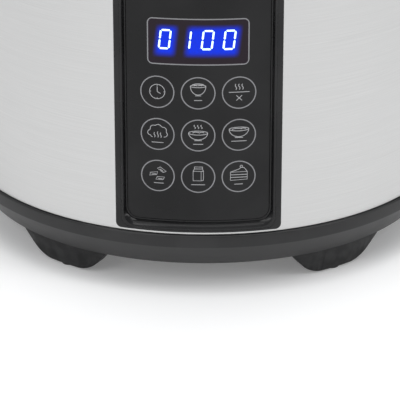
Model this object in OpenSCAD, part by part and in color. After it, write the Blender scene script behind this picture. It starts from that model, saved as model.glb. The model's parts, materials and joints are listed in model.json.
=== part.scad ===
// Round hinged-lid cooker with a yoghurt program: steel jacket, tall black control panel,
// black base ring on four feet, lid with latch and steam valve, carrying handle at the back.
// Millimetres. Origin on the floor under the body's axis, +Z up, the panel faces -Y.

/* [Body] */
// Outer radius of the steel jacket
body_r = 140; // [139:0.5:141]
// Height of the jacket's lower edge above the floor
shell_z0 = 36; // [35.5:0.5:36.5]
// Height of the jacket's upper edge
shell_z1 = 196; // [194:1:198]
// Sheet thickness of the jacket
shell_t = 0.8; // [0.6:0.1:1]

/* [Base ring and feet] */
// Height of the ring's lower edge
ring_z0 = 15.3; // [15:0.1:15.5]
// Height of the ring's widest line
ring_z_mid = 29.2; // [27:0.2:31]
// Radius at the ring's widest line
ring_r_mid = 141.9; // [141.5:0.1:143]
// Radius at the ring's lower edge
ring_r_low = 131.9; // [131:0.1:133]
// Angle of each foot from the front or the back
foot_angle = 36.6; // [34:0.2:40]
// Half width of a foot where it meets the ring
foot_half_w = 33; // [30:0.5:36]
// Height of the moulded foot's underside above the floor
foot_z0 = 0.8; // [0.6:0.1:1.5]
// Radius of the rounding at a foot's lower corners
foot_corner_r = 9.7; // [6:0.1:11]
// Radius of a rubber pad
pad_r = 4.2; // [3.5:0.1:4.5]

/* [Control panel] */
// Half width of the black panel
panel_half_w = 44.9; // [43.5:0.1:46]
// Height of the panel's lower edge
panel_z0 = 37; // [36.8:0.1:37.4]
// Half width of the printed lens
lens_half_w = 38.5; // [38:0.1:39]
// Height of the lens's lower edge
lens_z0 = 43.8; // [43:0.1:45]
// Height of the lens's upper edge
lens_z1 = 190; // [186:1:192]
// Radius of the lens's front face
lens_r = 138.5; // [138.2:0.1:138.8]
// Thickness of the lens
lens_t = 1.5; // [1.2:0.1:1.6]
// Angle between two columns of keys
key_step = 9.04; // [8.8:0.02:9.2]
// Height between two rows of keys
key_pitch = 24.1; // [23:0.1:25]
// Height of the middle row of keys
key_z_mid = 93.6; // [92:0.2:96]
// Height of the display's centre
display_z = 147; // [145:0.5:149]

/* [Pot and chamber] */
// Outer radius of the pot
pot_r = 114; // [112:0.5:114.5]
// Wall of the pot
pot_t = 1.5; // [1.2:0.1:2]
// Height of the pot's underside
pot_z0 = 76; // [75.5:0.5:76.5]
// Height of the seat for the pot's rim
seat_z = 212; // [211:0.5:212.5]
// Outer radius of the chamber around the pot
chamber_r = 119; // [118.5:0.5:119.5]

/* [Lid] */
// Outer radius of the lid
lid_r = 134; // [133:0.5:134.5]
// Height of the lid's underside
lid_z0 = 222.4; // [222.3:0.1:222.6]
// Height of the dome's top
dome_top = 257.7; // [257:0.1:258.5]
// Radius of the brushed disc on the lid
plate_r = 104; // [98:1:108]
// Distance of the steam valve from the centre
valve_y = 60; // [56:1:64]

/* [Hinge and handle] */
// Distance of the lid's hinge axis behind the centre
hinge_y = 126; // [125.5:0.1:126.5]
// Height of the lid's hinge axis
hinge_z = 230; // [229.5:0.1:230.5]
// Radius of the hinge pin
hinge_pin_r = 2.5; // [2.2:0.1:2.8]
// Distance of the handle's pivot axis behind the centre
handle_y = 10; // [8:1:12]
// Height of the handle's pivot axis
handle_z = 209; // [208.5:0.1:209.5]
// Radius of the handle's pivot pins
handle_pin_r = 3; // [2.6:0.1:3.4]

/* [Hidden] */

$fn = 96;
// Overlap that joins solids or lets a cutter pass a face
e = 1;

// Colours
black_satin = [0.09, 0.09, 0.1];
black_gloss = [0.05, 0.05, 0.06];
steel = [0.78, 0.78, 0.79];
alloy = [0.66, 0.67, 0.68];
rubber = [0.13, 0.13, 0.14];
board_green = [0.1, 0.32, 0.2];
copper = [0.72, 0.45, 0.3];
silicone = [0.86, 0.87, 0.87];
smoke = [0.3, 0.31, 0.33];

// Base ring
ring_wall = 3;
ring_draft = 0.4;
lip_wall = 2.4;
lip_root = 4;
ledge_r = 121;
ledge_z0 = 18;
ledge_t = 2.5;
cover_gap = 0.2;
ring_in_r = 127.2;
foot_r_top = 131;
foot_r_low = 128;
foot_in_r = 118.5;
foot_turns = [foot_angle, -foot_angle, 180 - foot_angle, 180 + foot_angle];
foot_low_half = foot_half_w - (ring_z0 - foot_z0);
foot_tangent = foot_corner_r * tan(22.5);
pad_ring_r = 123.6;
pad_top = 3;
lip_r = body_r - shell_t;
lip_top = shell_z0 + 6;
lip_gap = 0.2;
screw_ring_r = 124;
screw_turns = [0, 72, 144, 216, 288];
screw_r = 1.5;
screw_head_r = 3.2;
screw_head_t = 1.5;
boss_r = 3.6;
boss_top = 27;

// Bottom cover
cover_r = ring_in_r - cover_gap;
cover_z0 = ledge_z0 - 2.5;
cover_t = ledge_z0 - cover_z0;
vent_rows = 3;
vent_turns = [45, 135, 225, 315];
vent_len = 34;
vent_w = 3.4;
vent_pitch = 9;
vent_first = 62;

// Boards
board_t = 1.6;
power_x = 44;
power_y0 = -112;
power_y1 = -58;
power_z0 = 26;
power_post_r = 3;

// Mains inlet
inlet_z = 56;
inlet_half_w = 18.4;
inlet_half_h = 11.8;
bezel_half_w = 21;
bezel_half_h = 14;
inlet_face_y = body_r + 1.3;
inlet_back_y = 122;
socket_half_w = 12;
socket_half_h = 8.25;
socket_chamfer = 4;
socket_depth = 16;
blade_h = 4;
blade_w = 2;
blade_pitch = 7;
blade_drop = 4;
blade_tail = 1.5;
blade_places = [[-blade_pitch, -blade_drop], [0, 0], [blade_pitch, -blade_drop]];
wire_r = 0.9;
wire_y = inlet_back_y - 1.1;
wire_z = 32;
wire_bend = 6;
terminal_y = -60;

// Collar
collar_r = body_r + 1;
collar_top = 222;
collar_in_r = 123.2;
collar_wall = 2.5;
collar_plate = 3;
skirt_z0 = shell_z1 - 6;
channel_r = lip_r - 1.7;
seat_in_r = 116;
seat_t = 4;
ear_x0 = 26;
ear_x1 = 34;
ear_r = 7;
pivot_boss_r = 9;
pivot_boss_x = collar_r + 0.8;
spout_half_w = 6;
spout_y = 147;
spout_hole_r = 1.5;

// Latch
hook_y = -132;
hook_z = 231;
hook_half = 6.5;
hook_tip_z = 209;
latch_slot_half = 7.2;
latch_slot_y0 = -136;
latch_slot_y1 = -127;
latch_slot_depth = 6;
keeper_half = 8;
latch_pin_r = 1.5;
running_gap = 0.05;
button_half = 15;
button_y0 = -148;
button_y1 = -133;
button_top = 246;
button_gap = 0.3;
press_y = hook_y - 12.5;
latch_spring_x = 11;
latch_spring_y = -140.5;

// Control panel
fascia_in_r = 135.5;
fascia_out_r = body_r + 0.6;
bead_out_r = body_r + 1;
floor_r = lens_r - lens_t;
step_half_w = panel_half_w - 3.3;
step_z0 = panel_z0 + 2.1;
pocket_half_w = lens_half_w + 1.1;
pocket_z0 = lens_z0 - 1.2;
panel_corner = 3;
step_corner = 5.5;
pocket_corner = 7;
lens_corner = 6;
notch_half_w = panel_half_w - 2;
notch_z0 = panel_z0 + 2;
board_y = -127;
board_half_w = 34;
board_z0 = 56;
board_z1 = 168;
display_half_w = 27;
display_half_h = 12;
display_y = -133.8;
key_hole_r = 5;
touch_spring_r = 3.2;
touch_wall = 0.7;

// Pot and chamber
rim_r = 122;
rim_t = 2;
pot_corner = 14;
pot_floor = 2;
chamber_t = 1;
chamber_z0 = 50.5;
chamber_floor = 1.5;
chamber_top = seat_z - seat_t;
post_ring_r = 108;
post_r = 4;
heat_r = 100;
heat_z0 = 62;
heat_bore_r = 18;
element_r = 70;
element_tube_r = 4;
terminal_z0 = 42;
terminal_angle = 8;
standoff_ring_r = 86;
sensor_r = 12;
sensor_tube_r = 15;
sensor_floor_z = 46;
sensor_tube_top = 68;
sensor_head_r = 15.5;
sensor_head_z = 71;
sensor_stem_z0 = 55;
sensor_top = pot_z0 - 0.2;
sensor_spring_r = 8;

// Lid
lid_wall = 2.5;
lid_fillet = 16;
lid_fillet_z = 236;
dome_r = 1243;
dome_tilt = 84.6;
plate_t = 0.8;
lid_back_y = 118;
nose_r = 152;
nose_in_r = 110;
nose_half_angle = 9.3;
nose_top = 244;
nose_corner = 6;
liner_t = 2.5;
liner_gap = 0.2;
liner_top = lid_z0 + liner_t;
inner_lid_r = 113;
inner_lid_z = 218.5;
inner_lid_t = 1.2;
gasket_z0 = seat_z + rim_t + 0.3;
grommet_r = 4.9;
well_r = 21.3;
well_wall = 2;
well_floor_z = 236;
well_top = dome_z(valve_y + well_r + well_wall) - plate_t - 0.3;
sleeve_r = 8;
sleeve_wall = 2.5;
sleeve_z0 = 217;
stem_r = 7.6;
barrel_r = 6.5;
barrel_x0 = 10;
barrel_x1 = ear_x0 - 0.3;
spring_leg_x = 6.4;
spring_leg_r = 0.7;

// Handle
hoop_in_r = 143.5;
hoop_w = 8;
hoop_h = 12;
hoop_round = 3;
grip_angle = 24;
grip_core = 1.6;
eye_r = 8.5;
eye_x1 = 150;
pin_head_r = 6;
pin_head_x = 152;
head_gap = 0.4;

// Condensate cup
cup_half_w = 32;
cup_z0 = 150;
cup_z1 = 195;
cup_in_r = body_r + 0.9;
cup_y = 151;
cup_wall = 2;
bracket_half_w = 26;

// Points along a circular arc
function arc(cx, cy, r, a0, a1, n) =
    [for (i = [0:n]) [cx + r * cos(a0 + (a1 - a0) * i / n), cy + r * sin(a0 + (a1 - a0) * i / n)]];

// Height of the lid's dome at a distance from its centre
function dome_z(r) = dome_top - r * r / (2 * dome_r);

// Points along the dome between two radii
function dome_pts(r0, r1, drop, n) =
    [for (i = [0:n]) [r0 + (r1 - r0) * i / n, dome_z(r0 + (r1 - r0) * i / n) - drop]];

// Depth of the lens's inner face at a distance from the middle plane
function lens_back_y(x) = -sqrt(floor_r * floor_r - x * x);

// Solid of revolution of an outline in radius and height
module turned(points) {
    rotate_extrude() polygon(points);
}

module tube(r0, r1, z0, z1) {
    difference() {
        translate([0, 0, z0]) cylinder(r = r1, h = z1 - z0);
        translate([0, 0, z0 - e]) cylinder(r = r0, h = z1 - z0 + 2 * e);
    }
}

module disc(r, z0, z1) {
    translate([0, 0, z0]) cylinder(r = r, h = z1 - z0);
}

// Box from its lowest and highest corners
module block(low, high) {
    translate(low) cube(high - low);
}

// Round bar along X
module x_bar(r, x0, x1, y, z) {
    translate([x0, y, z]) rotate([0, 90, 0]) cylinder(r = r, h = x1 - x0);
}

// Round bar along Y
module y_bar(r, y0, y1, x, z) {
    translate([x, y0, z]) rotate([-90, 0, 0]) cylinder(r = r, h = y1 - y0);
}

// Rectangle with round corners, centred
module soft_rect(w, h, r) {
    square([w - 2 * r, h], center = true);
    square([w, h - 2 * r], center = true);
    for (x = [-1, 1], y = [-1, 1])
        translate([x * (w / 2 - r), y * (h / 2 - r)]) circle(r = r);
}

// Panel outline with round lower corners and a square top
module tongue(half_w, z0, z1, r) {
    translate([-half_w, z0 + r]) square([2 * half_w, z1 - z0 - r]);
    translate([-half_w + r, z0]) square([2 * (half_w - r), r + e]);
    for (x = [-1, 1])
        translate([x * (half_w - r), z0 + r]) circle(r = r);
}

// Slab that follows the body's curve at the front, cut to a flat outline seen from the front
module curved_slab(r0, r1) {
    intersection() {
        tube(r0, r1, 0, dome_top);
        rotate([90, 0, 0]) linear_extrude(height = body_r + 20) children();
    }
}

// ---- Base ----

module foot_outline() {
    corner = arc(foot_low_half - foot_tangent, foot_z0 + foot_corner_r, foot_corner_r, -90, -45, 6);
    mirrored = [for (i = [len(corner) - 1:-1:0]) [-corner[i][0], corner[i][1]]];
    polygon(concat(
        mirrored, corner,
        [[foot_half_w, ring_z0], [foot_half_w, ring_z0 + e],
         [-foot_half_w, ring_z0 + e], [-foot_half_w, ring_z0]]
    ));
}

module foot() {
    intersection() {
        turned([
            [foot_in_r, ring_z0], [ring_in_r, ring_z0], [ring_in_r, ring_z0 + e],
            [foot_r_top, ring_z0 + e], [foot_r_top, ring_z0], [foot_r_low, foot_z0],
            [foot_in_r + 2, foot_z0]
        ]);
        rotate([90, 0, 0]) linear_extrude(height = body_r) foot_outline();
    }
}

module base_ring() {
    color(black_satin)
    difference() {
        union() {
            turned([
                [ring_in_r, ring_z0], [ring_r_low, ring_z0], [ring_r_mid, ring_z_mid],
                [ring_r_mid - ring_draft, shell_z0], [lip_r, shell_z0], [lip_r, lip_top],
                [lip_r - lip_wall, lip_top], [lip_r - lip_wall, shell_z0 - lip_root],
                [ring_r_low - ring_wall, ledge_z0 + ledge_t], [ledge_r, ledge_z0 + ledge_t],
                [ledge_r, ledge_z0], [ring_in_r, ledge_z0]
            ]);
            for (a = foot_turns) rotate([0, 0, a]) foot();
            for (a = screw_turns)
                rotate([0, 0, a]) translate([0, screw_ring_r, ledge_z0 + ledge_t - e])
                    cylinder(r = boss_r, h = boss_top - ledge_z0 - ledge_t + e);
        }
        for (a = foot_turns)
            rotate([0, 0, a]) translate([0, -pad_ring_r, foot_z0 - e])
                cylinder(r = pad_r, h = pad_top - foot_z0 + e);
        for (a = screw_turns)
            rotate([0, 0, a]) translate([0, screw_ring_r, ledge_z0 - e]) cylinder(r = screw_r, h = boss_top);
    }
}

module foot_pads() {
    color(rubber)
    for (a = foot_turns)
        rotate([0, 0, a]) translate([0, -pad_ring_r, 0]) cylinder(r = pad_r, h = pad_top);
}

module bottom_cover() {
    color(black_satin)
    difference() {
        union() {
            disc(cover_r, cover_z0, ledge_z0);
            for (x = [-1, 1], y = [power_y0 + 6, power_y1 - 6])
                translate([x * (power_x - 6), y, cover_z0])
                    cylinder(r = power_post_r, h = power_z0 - cover_z0);
        }
        for (a = vent_turns, i = [0:vent_rows - 1])
            rotate([0, 0, a]) translate([-vent_len / 2, vent_first + i * vent_pitch, cover_z0 - e])
                cube([vent_len, vent_w, cover_t + 2 * e]);
        for (a = screw_turns) {
            rotate([0, 0, a]) translate([0, screw_ring_r, cover_z0 - e])
                cylinder(r = screw_head_r - 0.6, h = cover_t + 2 * e);
            // Flat counterbore for the screw's head
            rotate([0, 0, a]) translate([0, screw_ring_r, cover_z0 - e])
                cylinder(r = screw_head_r, h = screw_head_t + e);
        }
    }
}

module base_screws() {
    color(steel)
    for (a = screw_turns)
        rotate([0, 0, a]) translate([0, screw_ring_r, 0]) {
            difference() {
                disc(screw_head_r, cover_z0, cover_z0 + screw_head_t);
                for (t = [0, 90])
                    rotate([0, 0, t]) translate([-2, -0.4, cover_z0 - e]) cube([4, 0.8, e + 0.8]);
            }
            disc(screw_r, cover_z0 + screw_head_t - 0.1, boss_top - 2);
        }
}

module outer_shell() {
    color(steel)
    difference() {
        tube(lip_r, body_r, shell_z0, shell_z1);
        curved_slab(lip_r - 5, body_r + 5) tongue(notch_half_w, notch_z0, shell_z1 + e, panel_corner);
        block([-inlet_half_w, 100, inlet_z - inlet_half_h], [inlet_half_w, 160, inlet_z + inlet_half_h]);
    }
}

// ---- Collar ----

module hinge_ear(x0, x1) {
    x_bar(ear_r, x0, x1, hinge_y, hinge_z);
    block([x0, hinge_y - ear_r, collar_top - collar_plate], [x1, hinge_y + ear_r, hinge_z]);
}

module collar() {
    color(black_gloss)
    difference() {
        union() {
            turned(concat(
                [
                    [channel_r, skirt_z0], [lip_r, skirt_z0], [lip_r, shell_z1],
                    [body_r + 0.4, shell_z1], [collar_r, shell_z1 + 2]
                ],
                arc(collar_r - 7.5, collar_top - 7.5, 7.5, 0, 90, 6),
                [
                    [collar_in_r + 1, collar_top], [collar_in_r, collar_top - 1], [collar_in_r, seat_z],
                    [seat_in_r, seat_z], [seat_in_r, chamber_top], [collar_in_r + collar_wall, chamber_top],
                    [collar_in_r + collar_wall, collar_top - collar_plate],
                    [channel_r, collar_top - collar_plate]
                ]
            ));
            for (s = [-1, 1]) {
                hinge_ear(s > 0 ? ear_x0 : -ear_x1, s > 0 ? ear_x1 : -ear_x0);
                x_bar(pivot_boss_r, s > 0 ? channel_r : -pivot_boss_x, s > 0 ? pivot_boss_x : -channel_r,
                    handle_y, handle_z);
            }
            block([-spout_half_w, channel_r + 1, shell_z1], [spout_half_w, spout_y, shell_z1 + 3]);
        }
        // Clearance for the top of the panel frame
        block([-panel_half_w - 1, -body_r - 5, skirt_z0 - e], [panel_half_w + 1, -100, shell_z1]);
        block([-latch_slot_half, latch_slot_y0, collar_top - latch_slot_depth],
            [latch_slot_half, latch_slot_y1, collar_top + e]);
        x_bar(hinge_pin_r, -50, 50, hinge_y, hinge_z);
        for (s = [-1, 1])
            x_bar(handle_pin_r, s > 0 ? channel_r - e : -160, s > 0 ? 160 : -channel_r + e,
                handle_y, handle_z);
        translate([0, (collar_r + spout_y) / 2, shell_z1 - e]) cylinder(r = spout_hole_r, h = 3 + 2 * e);
    }
}

module latch_keeper() {
    color(steel) {
        block([-keeper_half, -channel_r + 0.3, 205], [keeper_half, -136.4, 217]);
        block([-keeper_half, -136.5, 211], [keeper_half, -135.7, 213]);
    }
}

// ---- Control panel ----

module key_places() {
    for (col = [-1, 0, 1], row = [-1, 0, 1])
        translate([floor_r * sin(col * key_step), 0, key_z_mid + row * key_pitch]) children();
}

module control_fascia() {
    color(black_gloss)
    difference() {
        union() {
            // Lip that lies on the jacket, then the bead around the lens pocket
            curved_slab(body_r, fascia_out_r) tongue(panel_half_w, panel_z0, shell_z1, panel_corner);
            curved_slab(fascia_in_r, body_r + e / 2)
                tongue(notch_half_w - 0.1, notch_z0 + 0.1, shell_z1, panel_corner);
            curved_slab(body_r - e, bead_out_r) tongue(step_half_w, step_z0, shell_z1, step_corner);
        }
        // Room for the base ring's lip behind the panel's lower edge
        disc(lip_r, 0, lip_top + lip_gap);
        curved_slab(floor_r, body_r + 10)
            translate([0, (pocket_z0 + lens_z1 + 1.2) / 2])
                soft_rect(2 * pocket_half_w, lens_z1 + 1.2 - pocket_z0, pocket_corner);
        block([-display_half_w - 1, -150, display_z - display_half_h - 1],
            [display_half_w + 1, -120, display_z + display_half_h + 1]);
        key_places() y_bar(key_hole_r, -150, -120, 0, 0);
    }
}

module panel_lens() {
    color(black_gloss)
    curved_slab(floor_r, lens_r)
        translate([0, (lens_z0 + lens_z1) / 2]) soft_rect(2 * lens_half_w, lens_z1 - lens_z0, lens_corner);
}

module display_module() {
    digit_w = 8;
    digit_pitch = 11.6;
    color(smoke)
    difference() {
        block([-display_half_w, display_y, display_z - display_half_h],
            [display_half_w, board_y, display_z + display_half_h]);
        // One light well for each digit
        for (i = [-1.5:1:1.5])
            block([i * digit_pitch - digit_w / 2, display_y - e, display_z - 7],
                [i * digit_pitch + digit_w / 2, display_y + 3, display_z + 7]);
    }
}

module control_board() {
    color(board_green)
    block([-board_half_w, board_y, board_z0], [board_half_w, board_y + board_t, board_z1]);
}

module touch_springs() {
    color(steel)
    for (col = [-1, 0, 1], row = [-1, 0, 1])
        translate([floor_r * sin(col * key_step), 0, key_z_mid + row * key_pitch])
            difference() {
                y_bar(touch_spring_r,
                    lens_back_y(floor_r * sin(abs(col) * key_step) + touch_spring_r * abs(col)) + 0.1,
                    board_y, 0, 0);
                y_bar(touch_spring_r - touch_wall, -150, board_y + e, 0, 0);
            }
}

module buzzer() {
    color(rubber)
    difference() {
        y_bar(6, board_y + board_t, board_y + board_t + 5, 20, 64);
        y_bar(1, board_y + board_t + 3, board_y + board_t + 6, 20, 64);
    }
}

// ---- Power ----

module power_board() {
    color(board_green)
    block([-power_x, power_y0, power_z0], [power_x, power_y1, power_z0 + board_t]);
}

module power_components() {
    top = power_z0 + board_t;
    color(smoke) {
        block([-38, -104, top], [-14, -82, top + 17]);
        block([-8, -104, top], [8, -92, top + 15]);
        for (x = [16, 28]) translate([x, -98, top]) cylinder(r = 4.5, h = 15);
        for (x = [-34, -24]) block([x, -76, top], [x + 6, -68, top + 9]);
        block([-11, terminal_y - 7, top], [11, terminal_y, top + 8]);
        difference() {
            block([6, -86, top], [36, -72, top + 14]);
            for (i = [0:3]) block([10 + 7 * i, -87, top + 3], [12 + 7 * i, -71, top + 15]);
        }
    }
}

module socket_outline() {
    polygon([
        [-socket_half_w, -socket_half_h], [socket_half_w, -socket_half_h],
        [socket_half_w, socket_half_h - socket_chamfer], [socket_half_w - socket_chamfer, socket_half_h],
        [-socket_half_w + socket_chamfer, socket_half_h], [-socket_half_w, socket_half_h - socket_chamfer]
    ]);
}

module power_inlet() {
    color(black_satin)
    difference() {
        union() {
            block([-inlet_half_w + 0.2, inlet_back_y, inlet_z - inlet_half_h + 0.2],
                [inlet_half_w - 0.2, inlet_face_y - 0.5, inlet_z + inlet_half_h - 0.2]);
            // Bezel that sits on the outside of the jacket
            difference() {
                translate([0, inlet_face_y, inlet_z]) rotate([90, 0, 0]) linear_extrude(height = 6)
                    soft_rect(2 * bezel_half_w, 2 * bezel_half_h, 3);
                disc(body_r, 0, dome_top);
            }
        }
        translate([0, inlet_face_y - socket_depth, inlet_z]) rotate([90, 0, 0]) mirror([0, 0, 1])
            linear_extrude(height = socket_depth + e) socket_outline();
        for (p = blade_places)
            block([p[0] - blade_w / 2, inlet_back_y - e, inlet_z + p[1] - blade_h / 2],
                [p[0] + blade_w / 2, inlet_face_y - socket_depth + e, inlet_z + p[1] + blade_h / 2]);
    }
}

module inlet_pins() {
    color(steel)
    for (p = blade_places)
        block([p[0] - blade_w / 2, inlet_back_y - blade_tail, inlet_z + p[1] - blade_h / 2],
            [p[0] + blade_w / 2, inlet_face_y - 2, inlet_z + p[1] + blade_h / 2]);
}

// Wire that drops behind the inlet, turns forward and ends at the terminal block
module wire(x, top) {
    translate([x, wire_y, wire_z + wire_bend]) cylinder(r = wire_r, h = top - wire_z - wire_bend);
    translate([x, wire_y - wire_bend, wire_z + wire_bend]) rotate([0, 90, 0])
        rotate_extrude(angle = 90) translate([wire_bend, 0]) circle(r = wire_r);
    y_bar(wire_r, terminal_y, wire_y - wire_bend, x, wire_z);
}

module mains_wires() {
    color(copper)
    for (p = blade_places) wire(p[0], inlet_z + p[1] - blade_h / 2);
}

// ---- Chamber and heater ----

module chamber() {
    color(alloy)
    difference() {
        disc(chamber_r, chamber_z0, chamber_top);
        disc(chamber_r - chamber_t, chamber_z0 + chamber_floor, chamber_top + e);
        disc(sensor_tube_r + 0.5, chamber_z0 - e, chamber_z0 + chamber_floor + e);
        for (s = [-1, 1])
            rotate([0, 0, s * terminal_angle]) translate([0, element_r, chamber_z0 - e])
                cylinder(r = element_tube_r + 1, h = chamber_floor + 2 * e);
    }
}

module chamber_posts() {
    color(alloy)
    for (a = [60, 120, 240, 300])
        rotate([0, 0, a]) translate([0, post_ring_r, 0])
            tube(screw_r, post_r, ledge_z0, chamber_z0);
}

module side_heater() {
    color(silicone) tube(chamber_r, chamber_r + 1.2, 112, 146);
}

module element_path(r) {
    rotate([0, 0, 90 + terminal_angle])
        rotate_extrude(angle = 360 - 2 * terminal_angle) translate([element_r, heat_z0]) circle(r = r);
}

module heating_plate() {
    color(alloy)
    difference() {
        turned([
            [heat_bore_r, heat_z0], [heat_r - 4, heat_z0], [heat_r, heat_z0 + 4],
            [heat_r, pot_z0 - 2], [heat_r - 2, pot_z0], [heat_bore_r, pot_z0]
        ]);
        element_path(element_tube_r);
    }
}

module heater_element() {
    color(steel) {
        element_path(element_tube_r);
        for (s = [-1, 1])
            rotate([0, 0, s * terminal_angle]) translate([0, element_r, terminal_z0])
                cylinder(r = element_tube_r - 1, h = heat_z0 - terminal_z0);
    }
}

module heater_standoffs() {
    color(alloy)
    for (a = [60, 180, 300])
        rotate([0, 0, a]) translate([0, standoff_ring_r, 0])
            tube(screw_r, post_r, chamber_z0 + chamber_floor, heat_z0);
}

module thermal_fuse() {
    color(silicone) {
        x_bar(2.5, -44, -30, -20, heat_z0 - 2.5);
        x_bar(0.8, -50, -43, -20, heat_z0 - 2.5);
        x_bar(0.8, -31, -24, -20, heat_z0 - 2.5);
    }
}

module sensor_housing() {
    color(black_satin)
    difference() {
        union() {
            disc(sensor_tube_r, sensor_floor_z, sensor_tube_top);
            disc(sensor_tube_r + 4, chamber_z0 + chamber_floor, chamber_z0 + chamber_floor + 2);
        }
        disc(sensor_r, sensor_floor_z + 2, sensor_tube_top + e);
        disc(2, sensor_floor_z - e, sensor_floor_z + 2 + e);
    }
}

module sensor_cap() {
    color(alloy) {
        disc(sensor_r - running_gap, sensor_stem_z0, sensor_head_z + 1);
        disc(sensor_head_r, sensor_head_z, sensor_top);
    }
}

module sensor_spring() {
    color(steel)
    tube(sensor_spring_r - 1, sensor_spring_r, sensor_floor_z + 2, sensor_stem_z0);
}

module inner_pot() {
    low = pot_z0 + pot_floor;
    in_r = pot_r - pot_t;
    in_corner = pot_corner - pot_t;
    color(alloy)
    turned(concat(
        [[0, pot_z0], [pot_r - pot_corner, pot_z0]],
        arc(pot_r - pot_corner, pot_z0 + pot_corner, pot_corner, -90, 0, 8),
        [
            [pot_r, seat_z], [rim_r, seat_z], [rim_r, seat_z + rim_t],
            [in_r + 1, seat_z + rim_t], [in_r, seat_z + rim_t - 1]
        ],
        arc(in_r - in_corner, low + in_corner, in_corner, 0, -90, 8),
        [[0, low]]
    ));
}

// ---- Hinge, handle and cup ----

module hinge_pin() {
    color(steel) x_bar(hinge_pin_r, -ear_x1 - 0.6, ear_x1 + 0.6, hinge_y, hinge_z);
}

module hinge_spring() {
    coil_r = 4.6;
    wire_w = 1.4;
    turns = 6;
    color(steel) {
        for (i = [0:turns - 1]) {
            x0 = (i - turns / 2) * 2.4 + 0.5;
            difference() {
                x_bar(coil_r, x0, x0 + wire_w, hinge_y, hinge_z);
                x_bar(coil_r - wire_w, x0 - e, x0 + wire_w + e, hinge_y, hinge_z);
            }
        }
        // Leg that rests on the collar
        translate([spring_leg_x, hinge_y + coil_r - wire_w / 2, collar_top])
            cylinder(r = spring_leg_r, h = hinge_z - collar_top);
    }
}

module handle_pivots() {
    color(steel)
    for (s = [-1, 1]) {
        x_bar(handle_pin_r, s > 0 ? channel_r : -pin_head_x + 0.5, s > 0 ? pin_head_x - 0.5 : -channel_r,
            handle_y, handle_z);
        x_bar(pin_head_r, s > 0 ? eye_x1 + 0.3 : -pin_head_x, s > 0 ? pin_head_x : -eye_x1 - 0.3,
            handle_y, handle_z);
    }
}

module cup_bracket() {
    color(black_satin)
    difference() {
        tube(body_r, body_r + 0.6, cup_z0 + 6, cup_z1 - 3);
        block([-body_r - 5, -body_r - 5, 0], [body_r + 5, 100, dome_top]);
        for (s = [-1, 1])
            block([s > 0 ? bracket_half_w : -100, 0, 0], [s > 0 ? 100 : -bracket_half_w, 160, dome_top]);
    }
}

module condensate_cup() {
    color(smoke)
    difference() {
        translate([0, 0, cup_z0]) linear_extrude(height = cup_z1 - cup_z0)
            difference() {
                translate([0, cup_y / 2]) soft_rect(2 * cup_half_w, cup_y, 4);
                circle(r = cup_in_r);
            }
        translate([0, 0, cup_z0 + cup_wall]) linear_extrude(height = cup_z1 - cup_z0)
            difference() {
                translate([0, cup_y / 2]) soft_rect(2 * (cup_half_w - cup_wall), cup_y - 2 * cup_wall, 2.5);
                circle(r = cup_in_r + cup_wall);
            }
    }
}

// Part of the handle's hoop, from one angle off the back to the other
module hoop(half_angle, inset) {
    rotate([0, 0, 90 - half_angle])
        rotate_extrude(angle = 2 * half_angle, $fn = 180)
            translate([hoop_in_r + hoop_w / 2, handle_z])
                soft_rect(hoop_w - 2 * inset, hoop_h - 2 * inset, hoop_round - inset);
}

module carry_handle() {
    color(black_satin)
    difference() {
        union() {
            difference() {
                hoop(90, 0);
                block([-160, -160, 0], [160, handle_y, dome_top]);
                hoop(grip_angle, -2);
            }
            hoop(grip_angle + 1, grip_core);
            for (s = [-1, 1])
                x_bar(eye_r, s > 0 ? hoop_in_r : -eye_x1, s > 0 ? eye_x1 : -hoop_in_r, handle_y, handle_z);
        }
        for (s = [-1, 1])
            x_bar(handle_pin_r + running_gap, s > 0 ? hoop_in_r - e : -160, s > 0 ? 160 : -hoop_in_r + e,
                handle_y, handle_z);
        // Recess for the pin's head where the hoop starts
        for (s = [-1, 1])
            x_bar(pin_head_r + head_gap, s > 0 ? eye_x1 : -160, s > 0 ? 160 : -eye_x1, handle_y, handle_z);
    }
}

module handle_grip() {
    color(rubber)
    difference() {
        hoop(grip_angle, 0);
        hoop(grip_angle + 1, grip_core);
    }
}

// ---- Lid ----

module lid_solid(wall) {
    turned(concat(
        [[0, lid_z0 - wall], [lid_r - wall, lid_z0 - wall]],
        arc(lid_r - lid_fillet, lid_fillet_z, lid_fillet - wall, 0, dome_tilt, 8),
        wall > 0 ? [] : dome_pts(lid_r - lid_fillet, plate_r + 0.3, 0, 3),
        dome_pts(plate_r + 0.3, 0, wall + plate_t + running_gap, 8)
    ));
}

// Sector at the front that carries the latch
module nose(r, half_angle, z0, z1, corner) {
    rotate([0, 0, -90 - half_angle])
        rotate_extrude(angle = 2 * half_angle)
            polygon(concat(
                [[nose_in_r, z0], [r, z0]],
                arc(r - corner, z1 - corner, corner, 0, 90, 5),
                [[nose_in_r, z1]]
            ));
}

module ahead_of(y) {
    intersection() {
        children();
        block([-160, -160, 0], [160, y, 300]);
    }
}

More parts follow.
